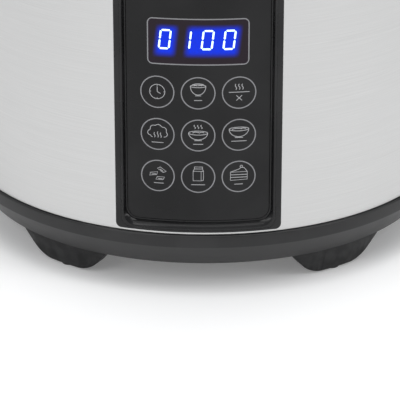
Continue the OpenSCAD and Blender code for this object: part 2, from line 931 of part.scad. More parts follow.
module lid_shell() {
    color(black_gloss)
    difference() {
        union() {
            difference() {
                union() {
                    ahead_of(lid_back_y) lid_solid(0);
                    nose(nose_r, nose_half_angle, lid_z0, nose_top, nose_corner);
                }
                ahead_of(lid_back_y - lid_wall) lid_solid(lid_wall);
                nose(nose_r - lid_wall, nose_half_angle - 1, lid_z0 - e, nose_top - lid_wall,
                    nose_corner - lid_wall);
            }
            // Well for the steam valve
            translate([0, valve_y, 0]) disc(well_r + well_wall, well_floor_z, well_top);
            for (s = [-1, 1]) {
                x_bar(barrel_r, s > 0 ? barrel_x0 : -barrel_x1, s > 0 ? barrel_x1 : -barrel_x0,
                    hinge_y, hinge_z);
                block([s > 0 ? barrel_x0 : -barrel_x1, lid_back_y - e, hinge_z - 5],
                    [s > 0 ? barrel_x1 : -barrel_x0, hinge_y, hinge_z + barrel_r]);
            }
        }
        translate([0, valve_y, 0]) disc(well_r, well_floor_z + well_wall, dome_top + e);
        translate([0, valve_y, 0])
            disc(sleeve_r + sleeve_wall + cover_gap, well_floor_z - e, well_floor_z + well_wall + e);
        x_bar(hinge_pin_r + running_gap, -50, 50, hinge_y, hinge_z);
        translate([0, (button_y0 + button_y1) / 2, nose_top - 8]) linear_extrude(height = 20)
            soft_rect(2 * (button_half + button_gap), button_y1 - button_y0 + 2 * button_gap, 3.3);
    }
}

module lid_plate() {
    color(steel)
    difference() {
        turned(concat(
            dome_pts(0, plate_r, plate_t, 8),
            dome_pts(plate_r, 0, 0, 8)
        ));
        translate([0, valve_y, 0]) disc(well_r + 0.2, 200, 300);
    }
}

module lid_liner() {
    color(black_satin)
    difference() {
        union() {
            ahead_of(lid_back_y - lid_wall - liner_gap) disc(lid_r - lid_wall - liner_gap, lid_z0, liner_top);
            nose(nose_r - lid_wall - liner_gap, nose_half_angle - 1.1, lid_z0, liner_top, 1);
            translate([0, valve_y, 0]) disc(sleeve_r + sleeve_wall, sleeve_z0, well_floor_z + well_wall);
            for (s = [-1, 1])
                block([s > 0 ? latch_slot_half : -latch_slot_half - 2.5, hook_y - 3, lid_z0],
                    [s > 0 ? latch_slot_half + 2.5 : -latch_slot_half, hook_y + 3, hook_z + 3]);
        }
        block([-latch_slot_half, latch_slot_y0, lid_z0 - e], [latch_slot_half, latch_slot_y1, liner_top + e]);
        x_bar(latch_pin_r, -20, 20, hook_y, hook_z);
        translate([0, valve_y, 0]) disc(sleeve_r, sleeve_z0 - e, 300);
    }
}

module lid_screws() {
    color(steel)
    for (a = [35, 145, 215, 325])
        rotate([0, 0, a]) translate([126, 0, 0]) {
            disc(screw_head_r - 0.4, liner_top, liner_top + 1.4);
        }
}

module inner_lid() {
    hole_ring = 34;
    holes = 8;
    color(alloy)
    difference() {
        disc(inner_lid_r, inner_lid_z, inner_lid_z + inner_lid_t);
        disc(grommet_r, inner_lid_z - e, inner_lid_z + inner_lid_t + e);
        translate([0, valve_y, inner_lid_z - e])
            cylinder(r = sleeve_r + sleeve_wall + 0.5, h = inner_lid_t + 2 * e);
        for (i = [0:holes - 1])
            rotate([0, 0, i * 360 / holes]) translate([hole_ring, 0, inner_lid_z - e])
                cylinder(r = 2, h = inner_lid_t + 2 * e);
    }
}

module lid_gasket() {
    color(silicone)
    difference() {
        turned([
            [inner_lid_r - 2.5, inner_lid_z - 1.5], [inner_lid_r + 1.5, inner_lid_z - 1.5],
            [inner_lid_r + 3, gasket_z0], [rim_r - 1.4, gasket_z0], [rim_r - 0.6, gasket_z0 + 1.6],
            [inner_lid_r + 5, inner_lid_z + 3], [inner_lid_r - 2.5, inner_lid_z + 3]
        ]);
        disc(inner_lid_r, inner_lid_z, inner_lid_z + inner_lid_t);
    }
}

module inner_lid_grommet() {
    color(silicone) {
        disc(grommet_r, inner_lid_z - 0.5, lid_z0);
        turned([
            [0, inner_lid_z - 7], [4, inner_lid_z - 7], [6, inner_lid_z - 5],
            [9, inner_lid_z - 1], [9, inner_lid_z], [0, inner_lid_z]
        ]);
    }
}

// ---- Steam valve ----

module valve_body() {
    base_z = well_floor_z + well_wall + 0.2;
    color(black_satin)
    translate([0, valve_y, 0])
    difference() {
        union() {
            disc(stem_r, sleeve_z0 - 1, base_z + e);
            disc(18.5, base_z, base_z + 16.5);
        }
        disc(stem_r - 2, sleeve_z0 - 2, base_z + 2 * e);
        disc(16.5, base_z + 2.5, base_z + 17);
        // Groove for the seal
        tube(stem_r - 0.9, stem_r + 1, sleeve_z0 + 5, sleeve_z0 + 8);
    }
}

module valve_cap() {
    z0 = well_floor_z + well_wall + 16.7;
    color(black_gloss)
    translate([0, valve_y, 0])
    difference() {
        turned(concat(
            [[0, z0], [20.6, z0]],
            arc(17.6, z0 + 6.4, 3, 0, 90, 4),
            [[0, z0 + 10.4]]
        ));
        for (a = [-60:30:60])
            rotate([0, 0, a]) block([-1.4, 8, z0 + 2.5], [1.4, 17, z0 + 12]);
        disc(14, z0 - e, z0 + 5);
    }
}

module valve_seal() {
    color(silicone)
    translate([0, valve_y, 0]) tube(stem_r - 0.9, sleeve_r - running_gap, sleeve_z0 + 5, sleeve_z0 + 8);
}

// ---- Latch ----

module latch_button() {
    mid = (button_y0 + button_y1) / 2;
    depth = button_y1 - button_y0;
    roof = nose_top - lid_wall;
    color(black_gloss) {
        translate([0, mid, roof - 0.7]) linear_extrude(height = button_top - roof + 0.7)
            soft_rect(2 * button_half, depth, 3);
        // Flange that keeps the button in, clear of the nose's rounded front edge
        block([-button_half - 1, button_y0 + 2, roof - 2.3], [button_half + 1, button_y1 + 0.7, roof - 0.2]);
        block([-3, press_y - 1.5, hook_z + 1.8], [3, press_y + 1.5, roof - 2]);
    }
}

module latch_hook() {
    tip_y = hook_y - 2.6;
    color(alloy)
    difference() {
        union() {
            translate([-hook_half, 0, 0]) rotate([90, 0, 90]) linear_extrude(height = 2 * hook_half)
                polygon([
                    [hook_y - 1, hook_z], [hook_y - 1, hook_tip_z + 3], [tip_y, hook_tip_z + 2.4],
                    [tip_y, hook_tip_z + 1.4], [hook_y - 1, hook_tip_z], [hook_y + 1, hook_tip_z],
                    [hook_y + 1, hook_z]
                ]);
            x_bar(3.6, -hook_half, hook_half, hook_y, hook_z);
            block([-hook_half, press_y - 1, hook_z - 1], [hook_half, hook_y, hook_z + 1.5]);
        }
        x_bar(latch_pin_r + running_gap, -20, 20, hook_y, hook_z);
    }
}

module latch_springs() {
    color(steel)
    for (s = [-1, 1])
        translate([s * latch_spring_x, latch_spring_y, 0]) tube(2, 3, liner_top, nose_top - lid_wall - 2.3);
}

module latch_pin() {
    color(steel) x_bar(latch_pin_r, -latch_slot_half - 2.5, latch_slot_half + 2.5, hook_y, hook_z);
}

base_ring();
foot_pads();
bottom_cover();
base_screws();
outer_shell();
collar();
latch_keeper();
control_fascia();
panel_lens();
display_module();
control_board();
touch_springs();
buzzer();
power_board();
power_components();
power_inlet();
inlet_pins();
mains_wires();
chamber();
chamber_posts();
side_heater();
heating_plate();
heater_element();
heater_standoffs();
thermal_fuse();
sensor_housing();
sensor_cap();
sensor_spring();
inner_pot();
hinge_pin();
hinge_spring();
handle_pivots();
cup_bracket();
condensate_cup();
carry_handle();
handle_grip();
lid_shell();
lid_plate();
lid_liner();
lid_screws();
inner_lid();
lid_gasket();
inner_lid_grommet();
valve_body();
valve_cap();
valve_seal();
latch_button();
latch_hook();
latch_springs();
latch_pin();
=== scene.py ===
"""Looks of a round hinged-lid cooker with a yoghurt program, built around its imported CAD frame.

Metres throughout. +Z is up, the control panel faces -Y, and the origin is on the floor under the body's axis.
"""

import json
import logging
import math
from collections.abc import Callable, Iterator
from contextlib import contextmanager
from dataclasses import dataclass
from enum import Enum

import bmesh
import bpy
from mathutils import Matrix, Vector

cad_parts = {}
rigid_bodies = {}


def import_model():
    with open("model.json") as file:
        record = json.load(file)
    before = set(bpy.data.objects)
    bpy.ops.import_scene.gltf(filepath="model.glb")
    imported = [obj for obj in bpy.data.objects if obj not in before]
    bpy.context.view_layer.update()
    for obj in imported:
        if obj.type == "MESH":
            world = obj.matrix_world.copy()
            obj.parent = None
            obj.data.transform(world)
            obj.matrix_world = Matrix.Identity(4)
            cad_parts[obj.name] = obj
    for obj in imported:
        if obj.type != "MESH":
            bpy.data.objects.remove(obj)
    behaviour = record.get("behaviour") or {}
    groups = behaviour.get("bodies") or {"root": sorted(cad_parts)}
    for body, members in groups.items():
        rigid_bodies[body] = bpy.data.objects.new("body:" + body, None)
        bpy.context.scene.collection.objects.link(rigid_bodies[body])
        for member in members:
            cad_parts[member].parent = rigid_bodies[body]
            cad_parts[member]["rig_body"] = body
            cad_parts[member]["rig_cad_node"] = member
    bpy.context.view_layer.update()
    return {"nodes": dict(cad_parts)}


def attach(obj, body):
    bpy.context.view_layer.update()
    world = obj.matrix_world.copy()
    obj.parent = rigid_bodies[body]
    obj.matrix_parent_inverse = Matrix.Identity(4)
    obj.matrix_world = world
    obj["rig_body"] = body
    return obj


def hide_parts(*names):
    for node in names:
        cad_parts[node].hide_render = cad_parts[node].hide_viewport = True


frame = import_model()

MM = 0.001
DIGIT_SLANT = math.tan(math.radians(6.6))
LOG = logging.getLogger("cooker")

Piece = bpy.types.Object
Material = bpy.types.Material
Point = tuple[float, float]
Place = tuple[float, float, float]


class Body(Enum):
    """The moving bodies of the frame."""

    HOUSING = "housing"
    LID = "lid"
    VALVE = "steam_valve"
    BUTTON = "button"
    HOOK = "hook"
    HANDLE = "handle"
    CUP = "cup"
    SENSOR = "sensor"


class Slot(Enum):
    """The material slots of the record."""

    BRUSHED_STEEL = "brushed_steel"
    BLACK_SATIN = "black_satin"
    BLACK_GLOSS = "black_gloss"
    PANEL_LENS = "panel_lens"
    DARK_RUBBER = "dark_rubber"
    PLAIN_STEEL = "plain_steel"
    CAST_ALLOY = "cast_alloy"
    POT_COATING = "pot_coating"
    LIGHT_SILICONE = "light_silicone"
    SMOKE_PLASTIC = "smoke_plastic"
    BOARD_GREEN = "board_green"
    WIRE_JACKET = "wire_jacket"


# ---- Workshop: selecting, shaping and finishing pieces ----


def select_only(*pieces: Piece) -> None:
    """Select these pieces and nothing else, and make the first one active.

    Args:
        pieces: The pieces to select.
    """
    bpy.ops.object.select_all(action="DESELECT")
    for piece in pieces:
        piece.select_set(True)
    bpy.context.view_layer.objects.active = pieces[0] if pieces else None


@contextmanager
def editing(piece: Piece, mode: str = "FACE") -> Iterator[None]:
    """Keep a piece in edit mode for a block of code.

    Args:
        piece: The piece to edit.
        mode: What is selected: VERT, EDGE or FACE.

    Yields:
        Nothing: operators in the block act on the piece.
    """
    select_only(piece)
    bpy.ops.object.mode_set(mode="EDIT")
    bpy.ops.mesh.select_mode(type=mode)
    yield
    bpy.ops.object.mode_set(mode="OBJECT")


def select_mesh() -> None:
    """Select, in edit mode, all of the mesh."""
    bpy.ops.mesh.select_all(action="SELECT")


def pick_faces(piece: Piece, test: Callable[[Vector, Vector], bool]) -> None:
    """Select, in edit mode, the faces that pass a test.

    Args:
        piece: The piece that is being edited.
        test: Told a face's centre and normal, says whether it is wanted.
    """
    mesh = bmesh.from_edit_mesh(piece.data)
    mesh.faces.ensure_lookup_table()
    for face in mesh.faces:
        face.select_set(False)
    wanted = [face for face in mesh.faces if test(face.calc_center_median(), face.normal)]
    for face in wanted:
        face.select_set(True)
    bmesh.update_edit_mesh(piece.data)


def adopt(name: str) -> Piece:
    """Name the piece that was just added, and put its place into its mesh.

    Args:
        name: The piece's name.

    Returns:
        The piece.
    """
    piece = bpy.context.active_object
    piece.name = piece.data.name = name
    bpy.ops.object.transform_apply(location=True, rotation=True, scale=True)
    return piece


def rounded(corners: list[Place], segments: int = 5) -> list[Point]:
    """Round the corners of a closed outline.

    Args:
        corners: Across, up and corner radius of each corner; radius 0 keeps it sharp.
        segments: Steps in each rounded corner.

    Returns:
        The points of the outline.
    """
    points: list[Point] = []
    for index, (across, up, radius) in enumerate(corners):
        here = Vector((across, up))
        if radius == 0:
            points.append((across, up))
            continue
        back = (Vector(corners[index - 1][:2]) - here).normalized()
        ahead = (Vector(corners[(index + 1) % len(corners)][:2]) - here).normalized()
        half = back.angle(ahead) / 2
        centre = here + (back + ahead).normalized() * (radius / math.sin(half))
        start = here + back * (radius / math.tan(half)) - centre
        end = here + ahead * (radius / math.tan(half)) - centre
        sweep = start.angle(end)
        for step in range(segments + 1):
            share = step / segments
            blend = math.sin((1 - share) * sweep) * start + math.sin(share * sweep) * end
            spot = centre + blend / math.sin(sweep)
            points.append((spot.x, spot.y))
    return points


def traced(name: str, points: list[Point], closed: bool) -> Piece:
    """Draw an outline in the XZ plane by extruding one vertex from point to point.

    Args:
        name: The piece's name.
        points: Radius and height of each point, in metres.
        closed: Whether the last point joins the first.

    Returns:
        A piece of edges only.
    """
    select_only()
    bpy.ops.mesh.primitive_plane_add(size=MM, location=(points[0][0], 0, points[0][1]))
    piece = adopt(name)
    with editing(piece, "VERT"):
        select_mesh()
        bpy.ops.mesh.merge(type="CENTER")
        spots = points + points[:1] if closed else points
        for (across, up), (next_across, next_up) in zip(spots, spots[1:]):
            bpy.ops.mesh.extrude_vertices_move(
                TRANSFORM_OT_translate={"value": (next_across - across, 0, next_up - up)}
            )
        select_mesh()
        bpy.ops.mesh.remove_doubles(threshold=2e-6)
    return piece


def mend(piece: Piece, threshold: float = 2e-6) -> Piece:
    """Merge doubles and turn every face outwards.

    Args:
        piece: The piece to mend.
        threshold: Distance below which two vertices become one.

    Returns:
        The same piece.
    """
    with editing(piece, "VERT"):
        select_mesh()
        bpy.ops.mesh.remove_doubles(threshold=threshold)
        bpy.ops.mesh.dissolve_degenerate(threshold=1e-7)
        select_mesh()
        bpy.ops.mesh.normals_make_consistent(inside=False)
    return piece


def shade(piece: Piece, degrees: float = 32) -> Piece:
    """Shade a piece smooth up to an angle between its faces.

    Args:
        piece: The piece to shade.
        degrees: Edges sharper than this stay sharp.

    Returns:
        The same piece.
    """
    select_only(piece)
    bpy.ops.object.shade_smooth_by_angle(angle=math.radians(degrees))
    return piece


def turned(name: str, points: list[Point], steps: int = 192, closed: bool = True) -> Piece:
    """Spin an outline round the body's axis.

    Args:
        name: The piece's name.
        points: Radius and height of each point, in metres.
        steps: Faces round the full turn.
        closed: Whether the outline is a closed loop; an open one starts and ends on the axis.

    Returns:
        The turned piece.
    """
    piece = traced(name, points, closed)
    with editing(piece, "EDGE"):
        select_mesh()
        bpy.ops.mesh.spin(steps=steps, angle=math.tau, center=(0, 0, 0), axis=(0, 0, 1))
    return shade(mend(piece))


def place(piece: Piece, offset: Place = (0, 0, 0), turn: Place = (0, 0, 0)) -> Piece:
    """Turn a piece about the origin, then move it, and put both into its mesh.

    Args:
        piece: The piece to place.
        offset: How far it moves.
        turn: Its rotation about X, Y and Z, in degrees.

    Returns:
        The same piece.
    """
    select_only(piece)
    piece.rotation_euler = [math.radians(angle) for angle in turn]
    piece.location = offset
    bpy.ops.object.transform_apply(location=True, rotation=True, scale=True)
    return piece


def copied(piece: Piece, name: str, offset: Place = (0, 0, 0), turn: Place = (0, 0, 0)) -> Piece:
    """Copy a piece with a mesh of its own, and place the copy.

    Args:
        piece: The piece to copy.
        name: The copy's name.
        offset: How far the copy moves.
        turn: Its rotation about X, Y and Z, in degrees.

    Returns:
        The copy.
    """
    select_only(piece)
    bpy.ops.object.duplicate(linked=False)
    copy = bpy.context.active_object
    copy.name = copy.data.name = name
    return place(copy, offset, turn)


def apply_modifier(piece: Piece, kind: str, **settings: object) -> Piece:
    """Add a modifier with its settings and apply it at once.

    Args:
        piece: The piece to change.
        kind: The modifier's type.
        settings: The modifier's properties.

    Returns:
        The same piece.
    """
    select_only(piece)
    modifier = piece.modifiers.new(kind.title(), kind)
    for key, value in settings.items():
        setattr(modifier, key, value)
    bpy.ops.object.modifier_apply(modifier=modifier.name)
    return piece


def soften(piece: Piece, width: float, segments: int = 2, degrees: float = 32) -> Piece:
    """Round a piece's sharp edges.

    Args:
        piece: The piece to soften.
        width: Width of the rounding.
        segments: Faces across the rounding.
        degrees: Only edges sharper than this are rounded.

    Returns:
        The same piece.
    """
    apply_modifier(
        piece, "BEVEL", width=width, segments=segments, limit_method="ANGLE",
        angle_limit=math.radians(degrees), use_clamp_overlap=True, miter_outer="MITER_ARC",
    )
    shade(piece)
    return apply_modifier(piece, "WEIGHTED_NORMAL", keep_sharp=True, weight=50)


def joined(name: str, pieces: list[Piece]) -> Piece:
    """Join pieces into one.

    Args:
        name: The joined piece's name.
        pieces: What to join.

    Returns:
        The joined piece.
    """
    select_only(*pieces)
    bpy.ops.object.join()
    piece = bpy.context.active_object
    piece.name = piece.data.name = name
    return piece


def rod(name: str, radius: float, start: Place, end: Place, edge: float = 0, sides: int = 48) -> Piece:
    """Round bar between two points, its rims rounded.

    Args:
        name: The piece's name.
        radius: Its radius.
        start: Centre of one end.
        end: Centre of the other end.
        edge: Rounding of its rims; 0 leaves them sharp.
        sides: Faces around it.

    Returns:
        The bar.
    """
    run = Vector(end) - Vector(start)
    select_only()
    bpy.ops.mesh.primitive_cylinder_add(
        vertices=sides, radius=radius, depth=run.length, location=(Vector(start) + Vector(end)) / 2,
        rotation=run.to_track_quat("Z", "Y").to_euler(),
    )
    piece = adopt(name)
    return soften(piece, edge) if edge else shade(piece)


def wire_mesh(name: str, strokes: list[tuple[list[Place], bool]], radius: float, sides: int = 1) -> Piece:
    """Round wire along lines, as a mesh.

    Args:
        name: The piece's name.
        strokes: The points of each line, and whether it closes.
        radius: The wire's radius.
        sides: Roundness of the wire's section.

    Returns:
        The wire.
    """
    curve = bpy.data.curves.new(name, "CURVE")
    curve.dimensions = "3D"
    curve.bevel_depth = radius
    curve.bevel_resolution = sides
    curve.use_fill_caps = True
    for points, closed in strokes:
        spline = curve.splines.new("POLY")
        spline.points.add(len(points) - 1)
        for spot, point in zip(spline.points, points):
            spot.co = (*point, 1)
        spline.use_cyclic_u = closed
    piece = bpy.data.objects.new(name, curve)
    bpy.context.scene.collection.objects.link(piece)
    select_only(piece)
    bpy.ops.object.convert(target="MESH")
    piece = bpy.context.active_object
    piece.name = piece.data.name = name
    return shade(piece, 60)


def from_node(node: str, name: str, edge: float, segments: int = 2) -> Piece:
    """Copy a CAD node, merge its triangles into clean faces and round its edges.

    Args:
        node: The CAD node's name.
        name: The piece's name.
        edge: Rounding of its edges; 0 leaves them sharp.
        segments: Faces across a rounding.

    Returns:
        The copy.
    """
    select_only(frame["nodes"][node])
    bpy.ops.object.duplicate(linked=False)
    piece = bpy.context.active_object
    piece.parent = None
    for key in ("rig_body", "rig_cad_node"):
        del piece[key]
    piece.name = piece.data.name = name
    piece.data.materials.clear()
    select_only(piece)
    bpy.ops.mesh.customdata_custom_splitnormals_clear()
    with editing(piece, "VERT"):
        select_mesh()
        bpy.ops.mesh.remove_doubles(threshold=4e-6)
        bpy.ops.mesh.mark_sharp(clear=True)
        bpy.ops.mesh.dissolve_limited(angle_limit=math.radians(0.6))
    return soften(piece, edge, segments) if edge else shade(piece)


# ---- Shaping round the front of the body ----

WRAP_R = 137 * MM


@dataclass(frozen=True)
class Ring:
    """Round-cornered outline at a distance from the body's axis, in millimetres.

    The half width is seen square from the front, as the frame's outlines are.
    """

    half_width: float
    low: float
    high: float
    corner: float
    radius: float

    def flat(self) -> tuple[Place, Place]:
        """Centre and half sizes of the outline, unrolled into the XZ plane, in metres."""
        across = WRAP_R * math.asin(self.half_width / self.radius)
        centre = (0, WRAP_R - self.radius * MM, (self.low + self.high) / 2 * MM)
        return centre, (across, 0, (self.high - self.low) / 2 * MM)


def stacked(name: str, rings: list[Ring], fill_back: bool, fill_front: bool, corner_steps: int = 8) -> Piece:
    """Bridge a stack of round-cornered outlines, back to front, in the flat.

    Args:
        name: The piece's name.
        rings: The outlines in order.
        fill_back: Whether the first outline is closed by a face.
        fill_front: Whether the last outline is closed by a face.
        corner_steps: Steps in each corner.

    Returns:
        The flat piece, in the XZ plane with its front towards -Y.
    """
    select_only()
    bpy.ops.mesh.primitive_plane_add(size=2, location=(0, 0, 0), rotation=(math.pi / 2, 0, 0))
    piece = adopt(name)
    with editing(piece, "VERT"):
        for index, ring in enumerate(rings):
            centre, half = ring.flat()
            if index:
                bpy.ops.mesh.primitive_plane_add(size=2, location=(0, 0, 0), rotation=(math.pi / 2, 0, 0))
            bpy.ops.transform.resize(value=(half[0], 1, half[2]), center_override=(0, 0, 0))
            bpy.ops.transform.translate(value=centre)
            bpy.ops.mesh.bevel(
                offset=ring.corner * MM, segments=corner_steps, affect="VERTICES", offset_type="OFFSET"
            )
            bpy.ops.object.vertex_group_assign_new()
        select_mesh()
        bpy.ops.mesh.delete(type="ONLY_FACE")

        def pick_rings(*wanted: int) -> None:
            """Select only the outlines with these numbers."""
            bpy.ops.mesh.select_all(action="DESELECT")
            for number in wanted:
                piece.vertex_groups.active_index = number
                bpy.ops.object.vertex_group_select()

        for index in range(len(rings) - 1):
            pick_rings(index, index + 1)
            bpy.ops.mesh.bridge_edge_loops()
        for index, wanted in ((0, fill_back), (len(rings) - 1, fill_front)):
            if wanted:
                pick_rings(index)
                bpy.ops.mesh.edge_face_add()
    piece.vertex_groups.clear()
    return mend(piece, 1e-7)


def wrap(piece: Piece, step: float = 2.5 * MM) -> Piece:
    """Slice a flat piece into upright strips and wrap it round the front of the body.

    Args:
        piece: Piece in the XZ plane; its flat y = 0 comes to lie on the wrapping radius.
        step: Width of the strips.

    Returns:
        The same piece.
    """
    low = min(corner[0] for corner in piece.bound_box)
    high = max(corner[0] for corner in piece.bound_box)
    with editing(piece, "FACE"):
        count = int((high - low) / step)
        for index in range(1, count + 1):
            select_mesh()
            bpy.ops.mesh.bisect(
                plane_co=(low + (high - low) * index / (count + 1), 0, 0), plane_no=(1, 0, 0)
            )
    apply_modifier(piece, "SIMPLE_DEFORM", deform_method="BEND", deform_axis="Z", angle=(high - low) / WRAP_R)
    return shade(place(piece, (0, -WRAP_R, 0)))


# ---- Finishes ----


class NodeBoard:
    """Adds and joins the nodes of one node tree."""

    def __init__(self, tree: bpy.types.NodeTree) -> None:
        """Start on a tree."""
        self.tree = tree

    def add(
        self, kind: str, inputs: dict[str | int, object] | None = None, **settings: object
    ) -> bpy.types.Node:
        """Add a node.

        Args:
            kind: The node's type, without the ShaderNode prefix.
            inputs: Values of its inputs, or the output sockets that feed them.
            settings: The node's properties.

        Returns:
            The node.
        """
        node = self.tree.nodes.new("ShaderNode" + kind)
        for key, value in settings.items():
            setattr(node, key, value)
        for key, value in (inputs or {}).items():
            self.put(node, key, value)
        return node

    def put(self, node: bpy.types.Node, key: str | int, value: object) -> None:
        """Set an input of a node.

        Args:
            node: The node.
            key: Its input's name or number.
            value: A constant, or the output socket that feeds it.
        """
        if isinstance(value, bpy.types.NodeSocket):
            self.link(value, node.inputs[key])
        else:
            node.inputs[key].default_value = value

    def link(self, source: bpy.types.NodeSocket, target: bpy.types.NodeSocket) -> None:
        """Join an output socket to an input socket."""
        self.tree.links.new(source, target)

    def math(self, operation: str, *values: object) -> bpy.types.NodeSocket:
        """Add a Math node and return its output."""
        return self.add("Math", dict(enumerate(values)), operation=operation).outputs[0]

    def span(
        self, value: object, low: float, high: float, to_low: float, to_high: float
    ) -> bpy.types.NodeSocket:
        """Map a value from one range to another, smoothly and clamped."""
        inputs = {0: value, 1: low, 2: high, 3: to_low, 4: to_high}
        return self.add("MapRange", inputs, interpolation_type="SMOOTHSTEP").outputs[0]

    def mix(self, share: object, first: object, second: object) -> bpy.types.NodeSocket:
        """Mix two colours."""
        return self.add("Mix", {0: share, 6: first, 7: second}, data_type="RGBA").outputs[2]


class Effect(Enum):
    """Surface effects that several finishes use."""

    BRUSHED_LINES = "Brushed lines"
    MOULDED_GRAIN = "Moulded grain"
    SETTLED_DUST = "Settled dust"
    EDGE_WEAR = "Edge wear"
    SOFT_BOX = "Soft box"


Socket = tuple[str, str]


class EffectShelf:
    """Builds each effect's node group once and hands it out."""

    def __init__(self) -> None:
        """Start with no group built."""
        self.groups: dict[Effect, bpy.types.NodeTree] = {}

    def _group(
        self, effect: Effect, inputs: list[Socket], outputs: list[Socket]
    ) -> tuple[NodeBoard, dict, dict]:
        """Make a group with its sockets.

        Args:
            effect: The effect the group is for.
            inputs: Name and kind of each input.
            outputs: Name and kind of each output.

        Returns:
            The group's board, the sockets that bring its inputs, and the sockets that take its outputs.
        """
        tree = bpy.data.node_groups.new(effect.value, "ShaderNodeTree")
        for sockets, way in ((inputs, "INPUT"), (outputs, "OUTPUT")):
            for name, kind in sockets:
                tree.interface.new_socket(name, in_out=way, socket_type="NodeSocket" + kind)
        self.groups[effect] = tree
        source, sink = tree.nodes.new("NodeGroupInput"), tree.nodes.new("NodeGroupOutput")
        return (
            NodeBoard(tree),
            {name: source.outputs[name] for name, _ in inputs},
            {name: sink.inputs[name] for name, _ in outputs},
        )

    def _brushed_lines(self) -> None:
        """Fine parallel lines of a brushed sheet, and slow clouds of tone."""
        board, given, result = self._group(
            Effect.BRUSHED_LINES, [("Vector", "Vector"), ("Across", "Float"), ("Along", "Float")],
            [("Lines", "Float"), ("Cloud", "Float")],
        )
        split = board.add("SeparateXYZ", {0: given["Vector"]})
        along = [board.math("MULTIPLY", split.outputs[axis], given["Along"]) for axis in (0, 1)]
        across = board.math("MULTIPLY", split.outputs[2], given["Across"])
        grain = board.add("CombineXYZ", {0: along[0], 1: along[1], 2: across})
        lines = board.add("TexNoise", {
            "Vector": grain.outputs[0], "Scale": 1.0, "Detail": 4.0, "Roughness": 0.7,
        })
        slow = board.math("MULTIPLY", across, 0.04)
        drift = board.add("CombineXYZ", {0: along[0], 1: along[1], 2: slow})
        cloud = board.add("TexNoise", {"Vector": drift.outputs[0], "Scale": 0.6, "Detail": 2.0})
        board.link(lines.outputs[0], result["Lines"])
        board.link(cloud.outputs[0], result["Cloud"])

    def _moulded_grain(self) -> None:
        """Fine spark-eroded grain of a moulded part, and slow mottling."""
        board, given, result = self._group(
            Effect.MOULDED_GRAIN, [("Vector", "Vector"), ("Size", "Float")],
            [("Height", "Float"), ("Mottle", "Float")],
        )
        cells = board.add(
            "TexVoronoi", {"Vector": given["Vector"], "Scale": given["Size"]}, feature="SMOOTH_F1"
        )
        noise = board.add("TexNoise", {"Vector": given["Vector"], "Scale": given["Size"], "Detail": 3.0})
        slow = board.math("MULTIPLY", given["Size"], 0.018)
        mottle = board.add("TexNoise", {"Vector": given["Vector"], "Scale": slow, "Detail": 3.0})
        board.link(board.math("MULTIPLY", cells.outputs[0], noise.outputs[0]), result["Height"])
        board.link(mottle.outputs[0], result["Mottle"])

    def _settled_dust(self) -> None:
        """Dust that lies in soft patches on faces that look up."""
        board, given, result = self._group(
            Effect.SETTLED_DUST, [("Vector", "Vector"), ("Amount", "Float")], [("Mask", "Float")]
        )
        upward = board.add("SeparateXYZ", {0: board.add("NewGeometry").outputs["Normal"]}).outputs[2]
        facing = board.span(upward, 0.35, 1.0, 0.0, 1.0)
        patch = board.add("TexNoise", {
            "Vector": given["Vector"], "Scale": 38.0, "Detail": 6.0, "Roughness": 0.65,
        })
        patches = board.span(patch.outputs[0], 0.42, 0.72, 0.0, 1.0)
        mask = board.math("MULTIPLY", board.math("MULTIPLY", facing, patches), given["Amount"])
        board.link(mask, result["Mask"])

    def _edge_wear(self) -> None:
        """Edges that handling has polished, broken up by noise."""
        board, given, result = self._group(
            Effect.EDGE_WEAR, [("Vector", "Vector"), ("Amount", "Float")], [("Mask", "Float")]
        )
        edge = board.span(board.add("NewGeometry").outputs["Pointiness"], 0.52, 0.62, 0.0, 1.0)
        rub = board.add("TexNoise", {"Vector": given["Vector"], "Scale": 140.0, "Detail": 5.0})
        mask = board.math("MULTIPLY", edge, board.span(rub.outputs[0], 0.35, 0.65, 0.0, 1.0))
        board.link(board.math("MULTIPLY", mask, given["Amount"]), result["Mask"])

    def _soft_box(self) -> None:
        """A box in the front view with soft edges, slanted as the digits are."""
        board, given, result = self._group(
            Effect.SOFT_BOX,
            [("Vector", "Vector"), ("Centre", "Vector"), ("Half size", "Vector"), ("Slant", "Float"),
             ("Blur", "Float")],
            [("Mask", "Float")],
        )
        apart = board.add("VectorMath", {0: given["Vector"], 1: given["Centre"]}, operation="SUBTRACT")
        spot = board.add("SeparateXYZ", {0: apart.outputs[0]})
        half = board.add("SeparateXYZ", {0: given["Half size"]})
        lean = board.math("MULTIPLY", spot.outputs[2], given["Slant"])
        sides = []
        for distance, size in ((board.math("SUBTRACT", spot.outputs[0], lean), 0), (spot.outputs[2], 2)):
            over = board.math("SUBTRACT", half.outputs[size], board.math("ABSOLUTE", distance))
            share = board.math("DIVIDE", over, given["Blur"])
            sides.append(board.span(share, -1.0, 1.0, 0.0, 1.0))
        board.link(board.math("MULTIPLY", sides[0], sides[1]), result["Mask"])

    def use(self, board: NodeBoard, effect: Effect, inputs: dict[str, object]) -> bpy.types.NodeOutputs:
        """Place an effect in a material.

        Args:
            board: The material's board.
            effect: Which effect.
            inputs: The group's inputs.

        Returns:
            The group node's outputs.
        """
        if effect not in self.groups:
            builders = {
                Effect.BRUSHED_LINES: self._brushed_lines,
                Effect.MOULDED_GRAIN: self._moulded_grain,
                Effect.SETTLED_DUST: self._settled_dust,
                Effect.EDGE_WEAR: self._edge_wear,
                Effect.SOFT_BOX: self._soft_box,
            }
            builders[effect]()
        node = board.add("Group", node_tree=self.groups[effect])
        for key, value in inputs.items():
            board.put(node, key, value)
        return node.outputs


EFFECTS = EffectShelf()
Colour = tuple[float, float, float]


def opaque(colour: Colour) -> tuple[float, float, float, float]:
    """Colour with full alpha."""
    return (*colour, 1.0)


